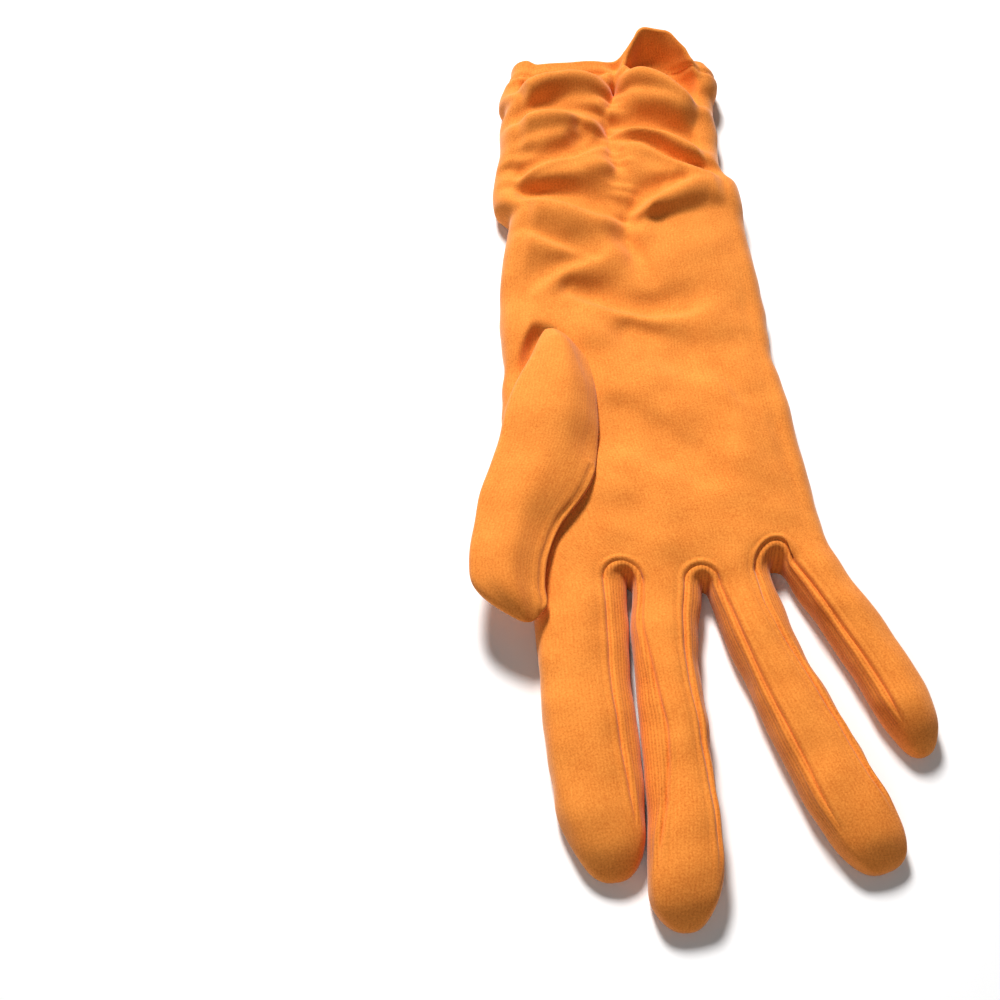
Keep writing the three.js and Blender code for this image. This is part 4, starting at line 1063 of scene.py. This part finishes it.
def thumb_points(points, faces):
    """Evens out the thumb, adds its seam, dents and undulation, and lowers it where it is sewn."""
    from_seam, _ = distances(points, thumb_seam())
    points = relax(points, faces, ROUNDS, smooth((from_seam - 0.6) / 1.5))
    normals = vertex_normals(points, faces)
    x, y, z = points.T
    dents = np.zeros(len(points))
    for dent_x, dent_y, reach, depth in THUMB_DENTS:
        dents -= depth * bell(np.hypot(x - dent_x, (y - dent_y) / 1.4), reach)
    out = THUMB_WAVES * ripple(points, *WAVES_ON_THUMB) + dents + lines_beside(from_seam, THUMB_LINES)
    points = points + normals * (out * smooth((z - THUMB_BASE) / 2))[:, None]
    x, y, z = points.T
    sewn = smooth((THUMB_SEWN - (THUMB_POINT[1] - y) / THUMB_LENGTH) / 0.3)
    sink = mix(*THUMB_SINK, smooth((-26 - x) / 8)) * sewn
    points[:, 2] = np.maximum(z, THUMB_BASE) - sink * np.clip(1 - (z - THUMB_BASE) / 4, 0, 1)
    return points


# Materials
cloth_material = jersey("cloth", srgb(248, 165, 78), srgb(204, 111, 36), 0.5)
# The strips between the fingers: the same jersey with stronger wales, its two colours darker as painted shade
# for strips that face sideways between the fingers
shaded_side_material = jersey("side_cloth", srgb(242, 157, 71), srgb(188, 95, 29), 1.6)
thread = jersey("thread", srgb(250, 160, 78), srgb(226, 130, 50), 0.2)

# Palm, back, forearm and cuff in one cloth, and the strips between the fingers
glove = glove_cloth()
points, faces, uvs, pieces = glove.joined()
rings = [glove.ring(row) for row in range(int(FACING / STEP))]
hem_ring = rings[int(round(HEM_BAND / STEP))]
points = displace(points, faces, *seam_lines(), hem_ring)
for piece in ["trank"] + [web["name"] for web in WEBS]:
    chosen = pieces == piece
    # The strips between the fingers take the darker copy of the cloth, whose colours are painted shade
    obj = make_object(piece + "_cloth", points, faces[chosen], uvs[chosen],
                      cloth_material if piece == "trank" else shaded_side_material)
    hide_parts(*(["trank", "cuff"] if piece == "trank" else [piece]))
    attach(obj, "root")

# Hem: the rolled edge, the cloth turned in and the stitches
facing = Cloth()
facing.grid("facing", *hem_facing(points, faces, rings))
facing_points, facing_faces, facing_uvs, _ = facing.joined()
hem_out = vertex_normals(points, faces)[hem_ring]
details = [
    make_object("hem_facing", facing_points, facing_faces, facing_uvs, cloth_material),
    stitches("hem_stitches", points[hem_ring], hem_out, STITCH_SPACING, STITCH_LENGTH, STITCH_RADIUS, thread),
]
for obj in details:
    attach(obj, "root")

# Thumb
points, faces, uvs, _ = thumb_cloth().joined()
obj = make_object("thumb_cloth", thumb_points(points, faces), faces, uvs, cloth_material)
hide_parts("thumb")
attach(obj, "root")

# Floor
bpy.ops.mesh.primitive_plane_add(size=4)
floor = bpy.context.object
floor.name = "floor"
floor_material = bpy.data.materials.new("floor")
floor_material.use_nodes = True
floor_shader = floor_material.node_tree.nodes["Principled BSDF"]
floor_shader.inputs["Base Color"].default_value = (0.95, 0.95, 0.95, 1)
floor_shader.inputs["Roughness"].default_value = 0.9
floor.data.materials.append(floor_material)


def area_light(name, place, target, size, power, spread):
    """A round light in metres, watts and degrees, aimed at a target."""
    data = bpy.data.lights.new(name, "AREA")
    data.shape = "DISK"
    data.size = size
    data.energy = power
    data.spread = math.radians(spread)
    light = bpy.data.objects.new(name, data)
    light.location = place
    light.rotation_euler = (Vector(target) - Vector(place)).to_track_quat("-Z", "Y").to_euler()
    bpy.context.scene.collection.objects.link(light)


# Light: a key from behind the cuff, a weak fill from the front and an even world
area_light("key", (-0.26, 0.82, 0.88), (-0.03, -0.1, 0), 0.3, 3.2, 70)
area_light("fill", (-0.25, -0.85, 0.8), (0, -0.1, 0), 0.6, 0.42, 70)
world = bpy.data.worlds.new("studio")
world.use_nodes = True
world.node_tree.nodes["Background"].inputs["Color"].default_value = (1, 1, 1, 1)
world.node_tree.nodes["Background"].inputs["Strength"].default_value = 0.13
bpy.context.scene.world = world
bpy.context.scene.view_settings.view_transform = "Standard"
bpy.context.scene.view_settings.gamma = 0.85

# Camera: its place in the cloth's millimetres and how far it looks down
CAMERA_POINT = (-36.5, -160.0, 324.0)
CAMERA_PITCH = math.radians(60.0)
camera_data = bpy.data.cameras.new("camera")
camera_data.sensor_width = 36
camera_data.lens = 50.4
camera = bpy.data.objects.new("camera", camera_data)
camera.location = Vector(np.array(CAMERA_POINT) - MIDDLE) * MM
camera.rotation_euler = (math.pi / 2 - CAMERA_PITCH, 0, 0)
bpy.context.scene.collection.objects.link(camera)
bpy.context.scene.camera = camera
